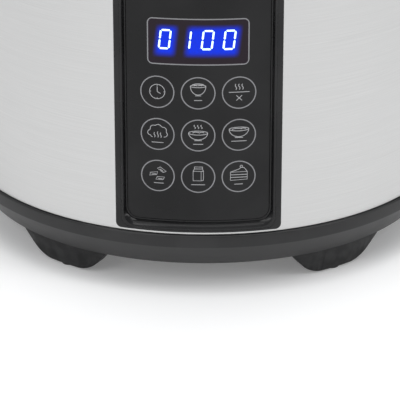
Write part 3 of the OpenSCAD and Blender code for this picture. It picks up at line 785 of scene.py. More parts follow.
def toned(colour: Colour, factor: float, lift: float = 0.0) -> tuple[float, float, float, float]:
    """Colour made lighter or darker, with full alpha."""
    return opaque(tuple(min(1.0, factor * part + lift) for part in colour))


def new_material(name: str) -> tuple[Material, NodeBoard, bpy.types.Node, bpy.types.NodeSocket]:
    """Start a node material.

    Args:
        name: The material's name.

    Returns:
        The material, its board, its Principled shader and the Object coordinates.
    """
    material = bpy.data.materials.new(name)
    material.use_nodes = True
    board = NodeBoard(material.node_tree)
    shader = material.node_tree.nodes["Principled BSDF"]
    return material, board, shader, board.add("TexCoord").outputs["Object"]


def bump(board: NodeBoard, shader: bpy.types.Node, height: object, strength: float, depth: float) -> None:
    """Feed a height into a shader's normal."""
    node = board.add("Bump", {"Height": height, "Strength": strength, "Distance": depth})
    board.put(shader, "Normal", node.outputs[0])


@dataclass(frozen=True)
class BrushedSteel:
    """Stainless sheet with brushed lines, along the body's girth or in rings round a centre."""

    name: str
    colour: Colour
    roughness: float
    concentric: bool = False
    across: float = 9000.0
    along: float = 22.0

    def material(self) -> Material:
        """Build the finish's material."""
        material, board, shader, spot = new_material(self.name)
        if self.concentric:
            flat = board.add("VectorMath", {0: spot, 1: (1, 1, 0)}, operation="MULTIPLY").outputs[0]
            reach = board.add("VectorMath", {0: flat}, operation="LENGTH").outputs[1]
            split = board.add("SeparateXYZ", {0: spot})
            spot = board.add("CombineXYZ", {0: split.outputs[0], 1: split.outputs[1], 2: reach}).outputs[0]
        lines = EFFECTS.use(
            board, Effect.BRUSHED_LINES, {"Vector": spot, "Across": self.across, "Along": self.along}
        )
        tone = board.span(lines["Lines"], 0.25, 0.75, 0.0, 1.0)
        dark = toned(self.colour, 0.8)
        base = board.mix(tone, dark, opaque(self.colour))
        clouded = board.mix(
            board.span(lines["Cloud"], 0.3, 0.7, 0.0, 0.35), base, toned(self.colour, 0.9)
        )
        board.put(shader, "Base Color", clouded)
        rough = board.span(lines["Lines"], 0.3, 0.7, self.roughness - 0.05, self.roughness + 0.06)
        board.put(shader, "Roughness", rough)
        board.put(shader, "Metallic", 1.0)
        bump(board, shader, lines["Lines"], 0.25, 0.00004)
        return material


@dataclass(frozen=True)
class Moulded:
    """Moulded plastic or rubber: a base colour, fine grain, rubbed edges and a trace of dust."""

    name: str
    colour: Colour
    roughness: float
    grain: float = 2600.0
    relief: float = 0.00003
    wear: float = 0.25
    dust: float = 0.06
    shine: float = 0.5

    def material(self) -> Material:
        """Build the finish's material."""
        material, board, shader, spot = new_material(self.name)
        grain = EFFECTS.use(board, Effect.MOULDED_GRAIN, {"Vector": spot, "Size": self.grain})
        wear = EFFECTS.use(board, Effect.EDGE_WEAR, {"Vector": spot, "Amount": self.wear})["Mask"]
        dust = EFFECTS.use(board, Effect.SETTLED_DUST, {"Vector": spot, "Amount": self.dust})["Mask"]
        light = toned(self.colour, 1.35, 0.012)
        base = board.mix(board.span(grain["Mottle"], 0.35, 0.65, 0.0, 0.45), opaque(self.colour), light)
        rubbed = board.mix(wear, base, toned(self.colour, 1.6, 0.05))
        dusty = board.mix(dust, rubbed, opaque((0.42, 0.41, 0.39)))
        board.put(shader, "Base Color", dusty)
        rough = board.span(grain["Mottle"], 0.3, 0.7, self.roughness - 0.04, self.roughness + 0.05)
        polished = board.math("SUBTRACT", rough, board.math("MULTIPLY", wear, 0.15))
        board.put(shader, "Roughness", board.math("ADD", polished, board.math("MULTIPLY", dust, 0.6)))
        board.put(shader, "Specular IOR Level", self.shine)
        bump(board, shader, grain["Height"], 0.35, self.relief)
        return material


@dataclass(frozen=True)
class Metal:
    """Plain, cast or anodised metal with fine grain."""

    name: str
    colour: Colour
    roughness: float
    grain: float = 900.0
    relief: float = 0.00004
    mottle: float = 0.15

    def material(self) -> Material:
        """Build the finish's material."""
        material, board, shader, spot = new_material(self.name)
        grain = EFFECTS.use(board, Effect.MOULDED_GRAIN, {"Vector": spot, "Size": self.grain})
        wear = EFFECTS.use(board, Effect.EDGE_WEAR, {"Vector": spot, "Amount": 0.4})["Mask"]
        dull = toned(self.colour, 1 - self.mottle)
        base = board.mix(board.span(grain["Mottle"], 0.3, 0.7, 0.0, 1.0), opaque(self.colour), dull)
        bright = board.mix(wear, base, toned(self.colour, 1.25))
        board.put(shader, "Base Color", bright)
        rough = board.span(grain["Height"], 0.0, 0.5, self.roughness - 0.05, self.roughness + 0.08)
        board.put(shader, "Roughness", rough)
        board.put(shader, "Metallic", 1.0)
        bump(board, shader, grain["Height"], 0.3, self.relief)
        return material


@dataclass(frozen=True)
class NonStick:
    """Dark non-stick coating with fine pale flecks."""

    name: str
    colour: Colour
    fleck: Colour

    def material(self) -> Material:
        """Build the finish's material."""
        material, board, shader, spot = new_material(self.name)
        grain = EFFECTS.use(board, Effect.MOULDED_GRAIN, {"Vector": spot, "Size": 1500.0})
        cells = board.add("TexVoronoi", {"Vector": spot, "Scale": 420.0, "Randomness": 1.0})
        flecks = board.span(cells.outputs[0], 0.1, 0.16, 1.0, 0.0)
        share = board.math("MULTIPLY", flecks, 0.55)
        board.put(shader, "Base Color", board.mix(share, opaque(self.colour), opaque(self.fleck)))
        board.put(shader, "Roughness", board.span(grain["Mottle"], 0.3, 0.7, 0.3, 0.42))
        bump(board, shader, grain["Height"], 0.25, 0.00002)
        return material


@dataclass(frozen=True)
class CircuitBoard:
    """Solder-masked board with copper tracks under the lacquer."""

    name: str
    colour: Colour

    def material(self) -> Material:
        """Build the finish's material."""
        material, board, shader, spot = new_material(self.name)
        tracks = board.add("TexBrick", {
            "Vector": spot, "Scale": 180.0, "Mortar Size": 0.03, "Brick Width": 1.6, "Row Height": 0.4,
            "Color1": (0, 0, 0, 1), "Color2": (0.2, 0.2, 0.2, 1), "Mortar": (1, 1, 1, 1),
        })
        base = board.mix(tracks.outputs[1], opaque(self.colour), toned(self.colour, 1.7))
        board.put(shader, "Base Color", base)
        noise = board.add("TexNoise", {"Vector": spot, "Scale": 300.0})
        board.put(shader, "Roughness", board.span(noise.outputs[0], 0.3, 0.7, 0.22, 0.36))
        bump(board, shader, tracks.outputs[1], 0.4, 0.00003)
        return material


@dataclass(frozen=True)
class Print:
    """Printed ink, slightly uneven in cover, with an emission: a painted glow on the printed inks, and the
    digits' own light on the display.
    """

    name: str
    colour: Colour
    glow: float

    def material(self) -> Material:
        """Build the finish's material."""
        material, board, shader, spot = new_material(self.name)
        noise = board.add("TexNoise", {"Vector": spot, "Scale": 2200.0, "Detail": 3.0})
        cover = board.span(noise.outputs[0], 0.3, 0.7, 0.0, 0.35)
        ink = board.mix(cover, opaque(self.colour), toned(self.colour, 0.72))
        board.put(shader, "Base Color", ink)
        board.put(shader, "Emission Color", ink)
        board.put(shader, "Emission Strength", self.glow)
        board.put(shader, "Roughness", board.span(noise.outputs[0], 0.3, 0.7, 0.4, 0.5))
        return material


@dataclass(frozen=True)
class GlowCell:
    """A soft blue patch behind the digits, in millimetres."""

    middle: float
    half_width: float


@dataclass(frozen=True)
class DisplayWindow:
    """Dark window with blue light behind its digits."""

    name: str
    colour: Colour
    light: Colour
    cells: tuple[GlowCell, ...]
    height: float
    half_height: float
    slant: float

    def material(self) -> Material:
        """Build the finish's material."""
        material, board, shader, spot = new_material(self.name)
        total: object = 0.0
        for cell in self.cells:
            mask = EFFECTS.use(board, Effect.SOFT_BOX, {
                "Vector": spot, "Centre": (cell.middle * MM, 0, self.height * MM),
                "Half size": (cell.half_width * MM, 1, self.half_height * MM),
                "Slant": self.slant, "Blur": 2.2 * MM,
            })["Mask"]
            total = board.math("MAXIMUM", total, mask)
        noise = board.add("TexNoise", {"Vector": spot, "Scale": 900.0, "Detail": 2.0})
        uneven = board.math("MULTIPLY", total, board.span(noise.outputs[0], 0.2, 0.8, 0.85, 1.0))
        board.put(shader, "Emission Color", board.mix(uneven, (0, 0, 0, 1), opaque(self.light)))
        board.put(shader, "Emission Strength", 1.0)
        board.put(shader, "Specular IOR Level", 0.14)
        board.put(shader, "Base Color", board.mix(uneven, opaque(self.colour), (0.0, 0.002, 0.05, 1)))
        board.put(shader, "Roughness", board.span(noise.outputs[0], 0.3, 0.7, 0.16, 0.22))
        return material


@dataclass(frozen=True)
class Smoked:
    """Grey see-through plastic."""

    name: str
    colour: Colour
    transmission: float

    def material(self) -> Material:
        """Build the finish's material."""
        material, board, shader, spot = new_material(self.name)
        grain = EFFECTS.use(board, Effect.MOULDED_GRAIN, {"Vector": spot, "Size": 1200.0})
        dark = toned(self.colour, 0.85)
        base = board.mix(board.span(grain["Mottle"], 0.3, 0.7, 0.0, 1.0), opaque(self.colour), dark)
        board.put(shader, "Base Color", base)
        board.put(shader, "Roughness", board.span(grain["Mottle"], 0.3, 0.7, 0.1, 0.18))
        board.put(shader, "Transmission Weight", self.transmission)
        bump(board, shader, grain["Height"], 0.15, 0.00002)
        return material


class Palette:
    """Every finish of the cooker, built once."""

    def __init__(self) -> None:
        """Build the materials."""
        self.jacket = BrushedSteel("jacket_steel", (0.665, 0.665, 0.66), 0.34).material()
        self.lid_disc = BrushedSteel("lid_disc_steel", (0.76, 0.76, 0.755), 0.3, concentric=True).material()
        self.satin = Moulded("satin_black", (0.012, 0.012, 0.0125), 0.4, dust=0.02, shine=0.42).material()
        # The feet take a darker copy of the satin black: painted shade for the shadow under the ring, with
        # less shine.
        self.shaded_satin = Moulded(
            "satin_black_feet_painted_shade", (0.008, 0.008, 0.0085), 0.46, dust=0.0, shine=0.2
        ).material()
        self.gloss = Moulded(
            "gloss_black", (0.007, 0.007, 0.0075), 0.26,
            grain=1500.0, relief=0.00001, wear=0.1, dust=0.02, shine=0.31,
        ).material()
        self.lens = Moulded(
            "lens_black", (0.006, 0.006, 0.0065), 0.22,
            grain=1200.0, relief=0.000006, wear=0.05, dust=0.0, shine=0.24,
        ).material()
        self.rubber = Moulded(
            "dark_rubber", (0.02, 0.02, 0.021), 0.68, grain=1800.0, relief=0.00006
        ).material()
        self.steel = Metal("plain_steel", (0.62, 0.62, 0.61), 0.26).material()
        self.alloy = Metal("cast_alloy", (0.63, 0.64, 0.65), 0.4, grain=1600.0, relief=0.00008).material()
        self.pot = NonStick("pot_coating", (0.022, 0.022, 0.024), (0.3, 0.3, 0.31)).material()
        self.silicone = Moulded(
            "light_silicone", (0.62, 0.63, 0.63), 0.46, grain=1400.0, wear=0.0, dust=0.02
        ).material()
        self.smoke = Smoked("smoke_plastic", (0.1, 0.105, 0.115), 0.55).material()
        self.solid_smoke = Moulded("smoke_mouldings", (0.06, 0.062, 0.068), 0.38).material()
        self.board = CircuitBoard("board_green", (0.02, 0.12, 0.055)).material()
        self.wire = Moulded("wire_jacket", (0.36, 0.12, 0.05), 0.44, wear=0.0).material()
        # The key and frame inks get a faint emission: painted glow, as the print is no lamp.
        self.ink = Print("key_ink_painted_glow", (0.42, 0.42, 0.43), 0.06).material()
        self.frame_ink_painted_glow = Print("frame_ink_painted_glow", (0.25, 0.25, 0.262), 0.03).material()
        self.digit = Print("digit_light", (0.62, 0.86, 1.0), 1.15).material()
        self.window = DisplayWindow(
            "display_window", (0.02, 0.013, 0.019), (0.0, 0.034, 0.82),
            (GlowCell(-17.0, 4.7), GlowCell(7.8, 13.4)), 146.7, 7.6, DIGIT_SLANT,
        ).material()


# ---- Sub-assemblies ----


@dataclass
class SubAssembly:
    """A group of pieces that ride together and take their finishes from one palette."""

    palette: Palette
    body: Body = Body.HOUSING

    def dress(
        self, piece: Piece, slot: Slot, finish: Material, *nodes: str, body: Body | None = None
    ) -> Piece:
        """Give a finished piece its finish and body, and hide the CAD nodes it stands for.

        Args:
            piece: The finished piece.
            slot: The record's material slot; not used.
            finish: Its material.
            nodes: The CAD nodes that it replaces.
            body: The body it rides on, where it isn't the sub-assembly's own.

        Returns:
            The piece.
        """
        piece.data.materials.clear()
        piece.data.materials.append(finish)
        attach(piece, (body or self.body).value)
        if nodes:
            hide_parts(*nodes)
        LOG.info("%s: %d faces on %s", piece.name, len(piece.data.polygons), (body or self.body).value)
        return piece

    def paint(self, finish: Material, *nodes: str) -> None:
        """Give CAD nodes that stay as they are a finish.

        Args:
            finish: The material.
            nodes: The CAD nodes' names.
        """
        for node in nodes:
            piece = frame["nodes"][node]
            if piece.material_slots:
                for slot in piece.material_slots:
                    slot.material = finish
            else:
                piece.data.materials.append(finish)
            LOG.info("%s: CAD node painted", node)


def mm(points: list[Place]) -> list[Place]:
    """Corners in millimetres, turned into metres."""
    return [(across * MM, up * MM, radius * MM) for across, up, radius in points]


@dataclass
class Base(SubAssembly):
    """Black base ring with four feet, rubber pads and the vented bottom cover. Sizes in millimetres."""

    low: float = 15.3
    middle: float = 29.2
    top: float = 36.0
    low_radius: float = 131.9
    mid_radius: float = 141.9
    bore_radius: float = 127.2
    lip_radius: float = 139.2
    foot_angle: float = 36.6
    foot_half: float = 33.0
    foot_floor: float = 0.8
    foot_corner: float = 9.7
    foot_front: float = 131.0
    foot_back: float = 118.5
    foot_taper: float = 3.0
    ring_wall: float = 3.0
    lip_wall: float = 2.4
    lip_height: float = 6.0
    lip_root: float = 4.0
    ledge_low: float = 18.0
    ledge_high: float = 20.5
    ledge_radius: float = 121.0
    pad_ring: float = 123.6
    pad_radius: float = 4.2
    pad_top: float = 3.0
    boss_ring: float = 124.0
    boss_radius: float = 3.6
    boss_top: float = 27.0
    bosses: int = 5

    def ring(self) -> Piece:
        """Turn the ring with its rounded facets and the lip inside the jacket.

        Returns:
            The ring.
        """
        inner, lip_top = self.lip_radius - self.lip_wall, self.top + self.lip_height
        return turned("ring", rounded(mm([
            (self.bore_radius, self.low, 0.4), (self.low_radius, self.low, 1.1),
            (self.mid_radius, self.middle, 0.9), (self.mid_radius - 0.4, self.top, 0.9),
            (self.lip_radius, self.top, 0.2), (self.lip_radius, lip_top, 0.4), (inner, lip_top, 0.4),
            (inner, self.top - self.lip_root, 0.8), (self.low_radius - self.ring_wall, self.ledge_high, 0.8),
            (self.ledge_radius, self.ledge_high, 0.4), (self.ledge_radius, self.ledge_low, 0.4),
            (self.bore_radius, self.ledge_low, 0.3),
        ]), 4), steps=240)

    def foot(self) -> Piece:
        """Model one foot at the front: a plate with 45 degree ends, extruded, tapered, rounded and bent.

        Returns:
            The foot.
        """
        bottom_half = self.foot_half - (self.low - self.foot_floor)
        half, low, up = self.foot_half * MM, self.foot_floor * MM, (self.low + 0.6) * MM
        thick = (self.foot_front - self.foot_back) * MM
        select_only()
        bpy.ops.mesh.primitive_plane_add(size=2, rotation=(math.pi / 2, 0, 0))
        piece = adopt("foot")
        with editing(piece, "VERT"):
            bpy.ops.transform.resize(value=(half, 1, (up - low) / 2), center_override=(0, 0, 0))
            bpy.ops.transform.translate(value=(0, WRAP_R - self.foot_back * MM, (up + low) / 2))
            middle = (up + low) / 2
            mesh = bmesh.from_edit_mesh(piece.data)
            for vert in mesh.verts:
                vert.select_set(vert.co.z < middle)
            bmesh.update_edit_mesh(piece.data)
            bpy.ops.transform.resize(value=(bottom_half / self.foot_half, 1, 1), center_override=(0, 0, 0))
            bpy.ops.mesh.bevel(
                offset=self.foot_corner * MM * 0.8, segments=8, affect="VERTICES", offset_type="OFFSET"
            )
            select_mesh()
            bpy.ops.mesh.extrude_region_move(TRANSFORM_OT_translate={"value": (0, -thick, 0)})
            select_mesh()
            bpy.ops.mesh.normals_make_consistent(inside=False)
            front = WRAP_R - self.foot_front * MM
            lean = Vector((0, -(self.low - self.foot_floor), -self.foot_taper)).normalized()
            select_mesh()
            bpy.ops.mesh.bisect(
                plane_co=(0, front, self.low * MM), plane_no=lean, clear_outer=True, use_fill=True
            )
        soften(piece, 1.3 * MM, 3)
        return wrap(piece, 4 * MM)

    def pad(self) -> Piece:
        """Turn one rubber pad with a rounded sole and a shallow ring in it.

        Returns:
            The pad.
        """
        radius = self.pad_radius
        return turned("pad", [(0, 0.0003)] + rounded(mm([
            (radius * 0.45, 0.3, 0.1), (radius * 0.55, 0.0, 0.1), (radius, 0, 0.5),
            (radius, self.pad_top, 0.2),
        ]), 4) + [(0, self.pad_top * MM)], steps=40, closed=False)

    def build(self) -> None:
        """Build and dress every piece."""
        ring, foot, pad = self.ring(), self.foot(), self.pad()
        feet, pads = [], []
        angles = (self.foot_angle, -self.foot_angle, 180 - self.foot_angle, 180 + self.foot_angle)
        for index, angle in enumerate(angles):
            feet.append(copied(foot, f"foot_{index}", turn=(0, 0, angle)))
            turn = math.radians(angle - 90)
            reach = self.pad_ring * MM
            pads.append(copied(pad, f"pad_{index}", (reach * math.cos(turn), reach * math.sin(turn), 0)))
        for spare in (foot, pad):
            bpy.data.objects.remove(spare)
        bosses = []
        for index in range(self.bosses):
            turn = math.radians(90 + 360 / self.bosses * index)
            across, depth = self.boss_ring * MM * math.cos(turn), self.boss_ring * MM * math.sin(turn)
            low, high = (across, depth, self.ledge_high * MM), (across, depth, self.boss_top * MM)
            bosses.append(rod(f"boss_{index}", self.boss_radius * MM, low, high, 0.3 * MM, 24))
        moulding = joined("base_ring_moulding", [ring, *bosses])
        self.dress(moulding, Slot.BLACK_SATIN, self.palette.satin, "base_ring")
        # The feet wear the darker satin copy, painted shade under the ring.
        self.dress(joined("foot_mouldings", feet), Slot.BLACK_SATIN, self.palette.shaded_satin)
        self.dress(joined("sole_pads", pads), Slot.DARK_RUBBER, self.palette.rubber, "foot_pads")
        cover = from_node("bottom_cover", "vented_bottom", 0.35 * MM)
        self.dress(cover, Slot.BLACK_SATIN, self.palette.satin, "bottom_cover")
        screws = from_node("base_screws", "bottom_screws", 0.15 * MM)
        self.dress(screws, Slot.PLAIN_STEEL, self.palette.steel, "base_screws")


@dataclass
class Jacket(SubAssembly):
    """Brushed steel jacket, notched for the panel and cut out for the inlet. Sizes in millimetres."""

    radius: float = 140.0
    low: float = 36.35
    high: float = 196.0
    sheet: float = 0.8
    notch_half: float = 42.9
    notch_low: float = 39.0
    inlet_half: float = 18.4
    inlet_low: float = 44.2
    inlet_high: float = 67.8

    def build(self) -> None:
        """Add an open cylinder, slice it, delete the openings and give the sheet its thickness."""
        select_only()
        bpy.ops.mesh.primitive_cylinder_add(
            vertices=256, radius=self.radius * MM, depth=(self.high - self.low) * MM, end_fill_type="NOTHING",
            location=(0, 0, (self.high + self.low) / 2 * MM),
        )
        piece = adopt("steel_jacket")
        with editing(piece, "FACE"):
            for across in (self.notch_half, self.inlet_half):
                for side in (-1, 1):
                    select_mesh()
                    bpy.ops.mesh.bisect(plane_co=(side * across * MM, 0, 0), plane_no=(1, 0, 0))
            for up in (self.notch_low, self.inlet_low, self.inlet_high):
                select_mesh()
                bpy.ops.mesh.bisect(plane_co=(0, 0, up * MM), plane_no=(0, 0, 1))
            pick_faces(piece, lambda spot, _: spot.y < 0 and abs(spot.x) < self.notch_half * MM
                       and spot.z > self.notch_low * MM)
            bpy.ops.mesh.delete(type="FACE")
            pick_faces(piece, lambda spot, _: spot.y > 0 and abs(spot.x) < self.inlet_half * MM
                       and self.inlet_low * MM < spot.z < self.inlet_high * MM)
            bpy.ops.mesh.delete(type="FACE")
        mend(piece)
        apply_modifier(piece, "SOLIDIFY", thickness=self.sheet * MM, offset=-1.0)
        soften(piece, 0.18 * MM, 2, 50)
        self.dress(piece, Slot.BRUSHED_STEEL, self.palette.jacket, "outer_shell")


Stroke = tuple[tuple[Point, ...], bool]


@dataclass(frozen=True)
class Icon:
    """Line drawing on a key, in units of the key ring's radius."""

    strokes: tuple[Stroke, ...]


def line(*points: Point) -> Stroke:
    """Open stroke through points."""
    return points, False


def loop(*points: Point) -> Stroke:
    """Closed stroke through points."""
    return points, True


def arc(centre: Point, radius: Point, start: float, end: float, steps: int) -> tuple[Point, ...]:
    """Points on an elliptical arc."""
    angles = [math.radians(start + (end - start) * step / steps) for step in range(steps + 1)]
    return tuple((centre[0] + radius[0] * math.cos(a), centre[1] + radius[1] * math.sin(a)) for a in angles)


def waft(across: float, low: float, high: float, sway: float = 0.045) -> tuple[Point, ...]:
    """Rising wavy line of steam or heat.

    Args:
        across: Its middle.
        low: Its lower end.
        high: Its upper end.
        sway: How far it swings to each side.

    Returns:
        The points.
    """
    return tuple(
        (across + sway * math.sin(math.tau * step / 10), low + (high - low) * step / 10) for step in range(11)
    )


def bow(centre: Point, radius: Point, start: float, end: float, steps: int) -> Stroke:
    """Open stroke along an elliptical arc."""
    return line(*arc(centre, radius, start, end, steps))


def vessel(half: float, rim: float, lip: float, depth: float, foot: float) -> list[Stroke]:
    """Open bowl seen a little from above: an oval rim, a body and a foot line.

    Args:
        half: Half width of the rim.
        rim: Height of the rim's middle.
        lip: Half height of the oval rim.
        depth: Depth of the body below the rim.
        foot: Half width of the foot.

    Returns:
        The strokes.
    """
    return [
        loop(*arc((0, rim), (half, lip), 0, 360, 28)[:-1]),
        bow((0, rim), (half, depth), 180, 360, 18),
        rule(0, rim - depth - 0.05, foot),
    ]


def rule(across: float, up: float, half: float) -> Stroke:
    """Short level line."""
    return line((across - half, up), (across + half, up))


def tube_end(across: float, up: float, lean: float) -> list[Stroke]:
    """One short slanted pasta tube.

    Args:
        across: Its middle.
        up: Its middle.
        lean: Its angle in degrees.

    Returns:
        The strokes.
    """
    turn = math.radians(lean)

    def put(point: Point) -> Point:
        """Turn a point about the tube's middle."""
        return (
            across + point[0] * math.cos(turn) - point[1] * math.sin(turn),
            up + point[0] * math.sin(turn) + point[1] * math.cos(turn),
        )

    outline = [put(point) for point in ((-0.26, -0.09), (0.18, -0.09), (0.27, 0.09), (-0.17, 0.09))]
    return [loop(*outline), line(put((-0.12, -0.03)), put((0.14, -0.03)))]


@dataclass
class ControlPanel(SubAssembly):
    """Curved black panel: frame, lens, display, key rings and printed symbols. Sizes in millimetres."""

    lens_half: float = 38.5
    lens_low: float = 43.8
    lens_high: float = 190.0
    lens_radius: float = 138.5
    key_step: float = 9.04
    key_pitch: float = 24.1
    key_middle: float = 93.6
    key_radius: float = 8.85
    symbol_line: float = 0.2
    display_half: float = 27.0
    display_low: float = 133.4
    display_high: float = 159.35
    border: float = 0.62
    digit_height: float = 11.6
    digit_width: float = 6.7
    digit_middle: float = 147.6
    digit_places: tuple[float, ...] = (-17.4, -6.8, 5.0, 16.4)
    digit_inset: float = 0.7
    digit_radius: float = 138.53
    segment_half: float = 2.3
    segment_width: float = 0.5
    segment_point: float = 0.42
    segment_relief: float = 0.05
    ring_line: float = 0.3
    fine_strip: float = 1.5
    coarse_strip: float = 3.0
    slant: float = DIGIT_SLANT

    def housing_frame(self) -> Piece:
        """Bridge the frame's outlines from its back to the floor of the lens pocket.

        Returns:
            The frame.
        """
        rings = [
            Ring(42.6, 42.4, 195.7, 3, 135.6), Ring(42.7, 42.3, 195.8, 3, 139.9),
            Ring(44.9, 37.6, 196, 3, 140.02), Ring(44.9, 37.6, 196, 3, 140.42),
            Ring(44.8, 37.7, 195.9, 3, 140.55), Ring(44.6, 37.85, 195.7, 3, 140.6),
            Ring(42.0, 38.75, 194.9, 4.6, 140.58), Ring(41.85, 38.9, 194.8, 4.8, 140.48),
            Ring(41.7, 39.05, 194.7, 5, 140.46), Ring(41.6, 39.1, 194.6, 5.1, 140.72),
            Ring(41.45, 39.25, 194.5, 5.2, 140.93), Ring(41.2, 39.5, 194.3, 5.3, 141.0),
            Ring(40.8, 40.1, 193.3, 6.0, 140.94), Ring(40.5, 40.7, 192.7, 6.3, 140.72),
            Ring(39.85, 42.1, 191.6, 6.8, 139.3), Ring(39.64, 42.54, 191.27, 7, 138.6),
            Ring(39.6, 42.6, 191.2, 7, 137.3), Ring(39.3, 42.9, 190.9, 6.8, 137.0),
        ]
        return wrap(stacked("panel_frame", rings, True, True))

    def lens(self) -> Piece:
        """Bridge the lens's outlines, its front edge rounded.

        Returns:
            The lens.
        """
        half, low, high = self.lens_half, self.lens_low, self.lens_high
        rings = [
            Ring(half, low, high, 6, 137.02), Ring(half, low, high, 6, 138.1),
            Ring(half - 0.08, low + 0.08, high - 0.08, 5.95, 138.33),
            Ring(half - 0.25, low + 0.25, high - 0.25, 5.8, 138.46),
            Ring(half - 0.5, low + 0.5, high - 0.5, 5.6, 138.5),
        ]
        return wrap(stacked("panel_window_lens", rings, True, True))

    def lens_seal(self) -> Piece:
        """Soft ring that fills the gap between the lens and its frame.

        Returns:
            The ring.
        """
        half, low, high = self.lens_half, self.lens_low, self.lens_high
        rings = [
            Ring(39.58, 42.62, 191.18, 6.98, 137.1), Ring(39.58, 42.62, 191.18, 6.98, 138.24),
            Ring(half + 0.9, low - 1.0, high + 1.0, 6.9, 138.3),
            Ring(half + 0.2, low - 0.2, high + 0.2, 6.2, 138.26),
            Ring(half + 0.05, low - 0.05, high + 0.05, 6.05, 138.2),
            Ring(half + 0.05, low - 0.05, high + 0.05, 6.05, 137.1),
        ]
        return wrap(stacked("lens_seal", rings, False, False))

    def display_frame(self) -> Piece:
        """Thin printed frame round the display.

        Returns:
            The frame.
        """
        half, low, high, line = self.display_half, self.display_low, self.display_high, self.border
        rings = [
            Ring(half, low, high, 3, 138.45), Ring(half, low, high, 3, 138.56),
            Ring(half - line, low + line, high - line, 2.2, 138.52),
            Ring(half - line, low + line, high - line, 2.2, 138.45),
        ]
        return wrap(stacked("display_border", rings, False, False))

    def window(self) -> Piece:
        """Dark window of the display.

        Returns:
            The window.
        """
        half, low, high, line = self.display_half, self.display_low, self.display_high, self.border
        rings = [
            Ring(half - line, low + line, high - line, 2.2, 138.44),
            Ring(half - line, low + line, high - line, 2.2, 138.53),
        ]
        return wrap(stacked("display_window_pane", rings, True, True), self.fine_strip * MM)

    def segment(self) -> Piece:
        """One level display segment: a bar with pointed ends, a little proud of the window.

        Returns:
            The segment, unrolled, with its middle at the origin.
        """
        select_only()
        bpy.ops.mesh.primitive_plane_add(size=2, rotation=(math.pi / 2, 0, 0))
        piece = adopt("segment")
        with editing(piece, "VERT"):
            bpy.ops.transform.resize(
                value=(self.segment_half * MM, 1, self.segment_width * MM), center_override=(0, 0, 0)
            )
            bpy.ops.mesh.bevel(
                offset=self.segment_point * MM, segments=1, affect="VERTICES", offset_type="OFFSET"
            )
            select_mesh()
            bpy.ops.mesh.extrude_region_move(
                TRANSFORM_OT_translate={"value": (0, -self.segment_relief * MM, 0)}
            )
            select_mesh()
            bpy.ops.mesh.normals_make_consistent(inside=False)
        return piece

    def digits(self) -> Piece:
        """Four digits that read 0100, built from copies of one segment.

        Returns:
            The digits.
        """
        bar = self.segment()
        half_width = self.digit_width / 2 - self.digit_inset
        half_height = self.digit_height / 2 - self.digit_inset
        bars: list[Piece] = []
        lit = {"0": "abcdef", "1": "bc"}
        spots = {
            "a": (0, half_height, 0), "d": (0, -half_height, 0),
            "b": (half_width, half_height / 2, 1), "c": (half_width, -half_height / 2, 1),
            "e": (-half_width, -half_height / 2, 1), "f": (-half_width, half_height / 2, 1),
        }
        for middle, figure in zip(self.digit_places, "0100"):
            for letter in lit[figure]:
                across, up, upright = spots[letter]
                turn = 90 - math.degrees(math.atan(self.slant)) if upright else 0
                offset = (
                    (middle + across + self.slant * up) * MM, WRAP_R - self.digit_radius * MM,
                    (self.digit_middle + up) * MM,
                )
                bars.append(copied(bar, f"segment_{len(bars)}", offset, (0, -turn, 0)))
        bpy.data.objects.remove(bar)
        return wrap(joined("display_digits", bars), self.fine_strip * MM)

    def icons(self) -> dict[tuple[int, int], Icon]:
        """Line drawing of each key, by column and row.

        Returns:
            The drawings.
        """
        steam = [line(*waft(x, 0.44, 0.68)) for x in (-0.2, 0.0, 0.2)]
        heat = [line(*waft(x, 0.2, 0.56)) for x in (-0.2, 0.0, 0.2)]
        cloud = (
            arc((-0.3, -0.08), (0.12, 0.12), 270, 180, 4) + arc((-0.4, 0.08), (0.2, 0.18), 250, 110, 8)
            + arc((-0.24, 0.36), (0.2, 0.2), 190, 70, 8) + arc((0.04, 0.42), (0.2, 0.2), 140, 40, 8)
            + arc((0.34, 0.28), (0.2, 0.18), 100, -10, 8) + arc((0.38, 0.0), (0.22, 0.18), 40, -90, 8)
        )
        ticks = [
            line(*((reach * math.cos(turn), 0.02 + reach * math.sin(turn)) for reach in (0.38, 0.42)))
            for turn in (0, math.pi / 2, math.pi, 3 * math.pi / 2)
        ]
        clock = (
            loop(*arc((0, 0.02), (0.46, 0.46), 0, 360, 32)[:-1]), line((0, 0.34), (0, 0.02), (0.2, -0.1))
        )
        rice = (
            *vessel(0.46, 0.45, 0.09, 0.56, 0.17), bow((0, 0.47), (0.38, 0.14), 0, 180, 12),
            bow((-0.15, 0.45), (0.1, 0.05), 0, 180, 5),
            bow((0.12, 0.46), (0.1, 0.05), 0, 180, 5),
        )
        cross = (line((-0.17, -0.17), (0.17, -0.5)), line((-0.17, -0.5), (0.17, -0.17)))
        puffs = (line(*waft(x, -0.22, top, 0.03)) for x, top in ((-0.18, 0.1), (0.02, 0.16), (0.2, 0.1)))
        soup = (
            *vessel(0.57, 0.16, 0.13, 0.44, 0.22), *steam, bow((-0.12, 0.15), (0.2, 0.07), 180, 20, 8),
            bow((0.22, 0.16), (0.14, 0.05), 0, 200, 6),
        )
        porridge = (
            *vessel(0.59, 0.38, 0.12, 0.5, 0.24), bow((-0.1, 0.36), (0.3, 0.06), 200, 20, 8),
            bow((0.26, 0.38), (0.16, 0.05), 0, 180, 6),
        )
        pasta = (*tube_end(0.24, 0.4, -36), *tube_end(-0.26, 0.12, 10), *tube_end(0.14, -0.16, 0))
        carton = (
            loop((-0.3, -0.24), (0.18, -0.24), (0.18, 0.38), (-0.3, 0.38)),
            line((0.18, -0.24), (0.32, -0.2), (0.32, 0.38), (0.18, 0.38)),
            line((-0.3, 0.38), (-0.22, 0.54), (0.26, 0.54), (0.32, 0.38)),
            line((-0.22, 0.54), (-0.22, 0.67), (0.26, 0.67), (0.26, 0.54)),
        )
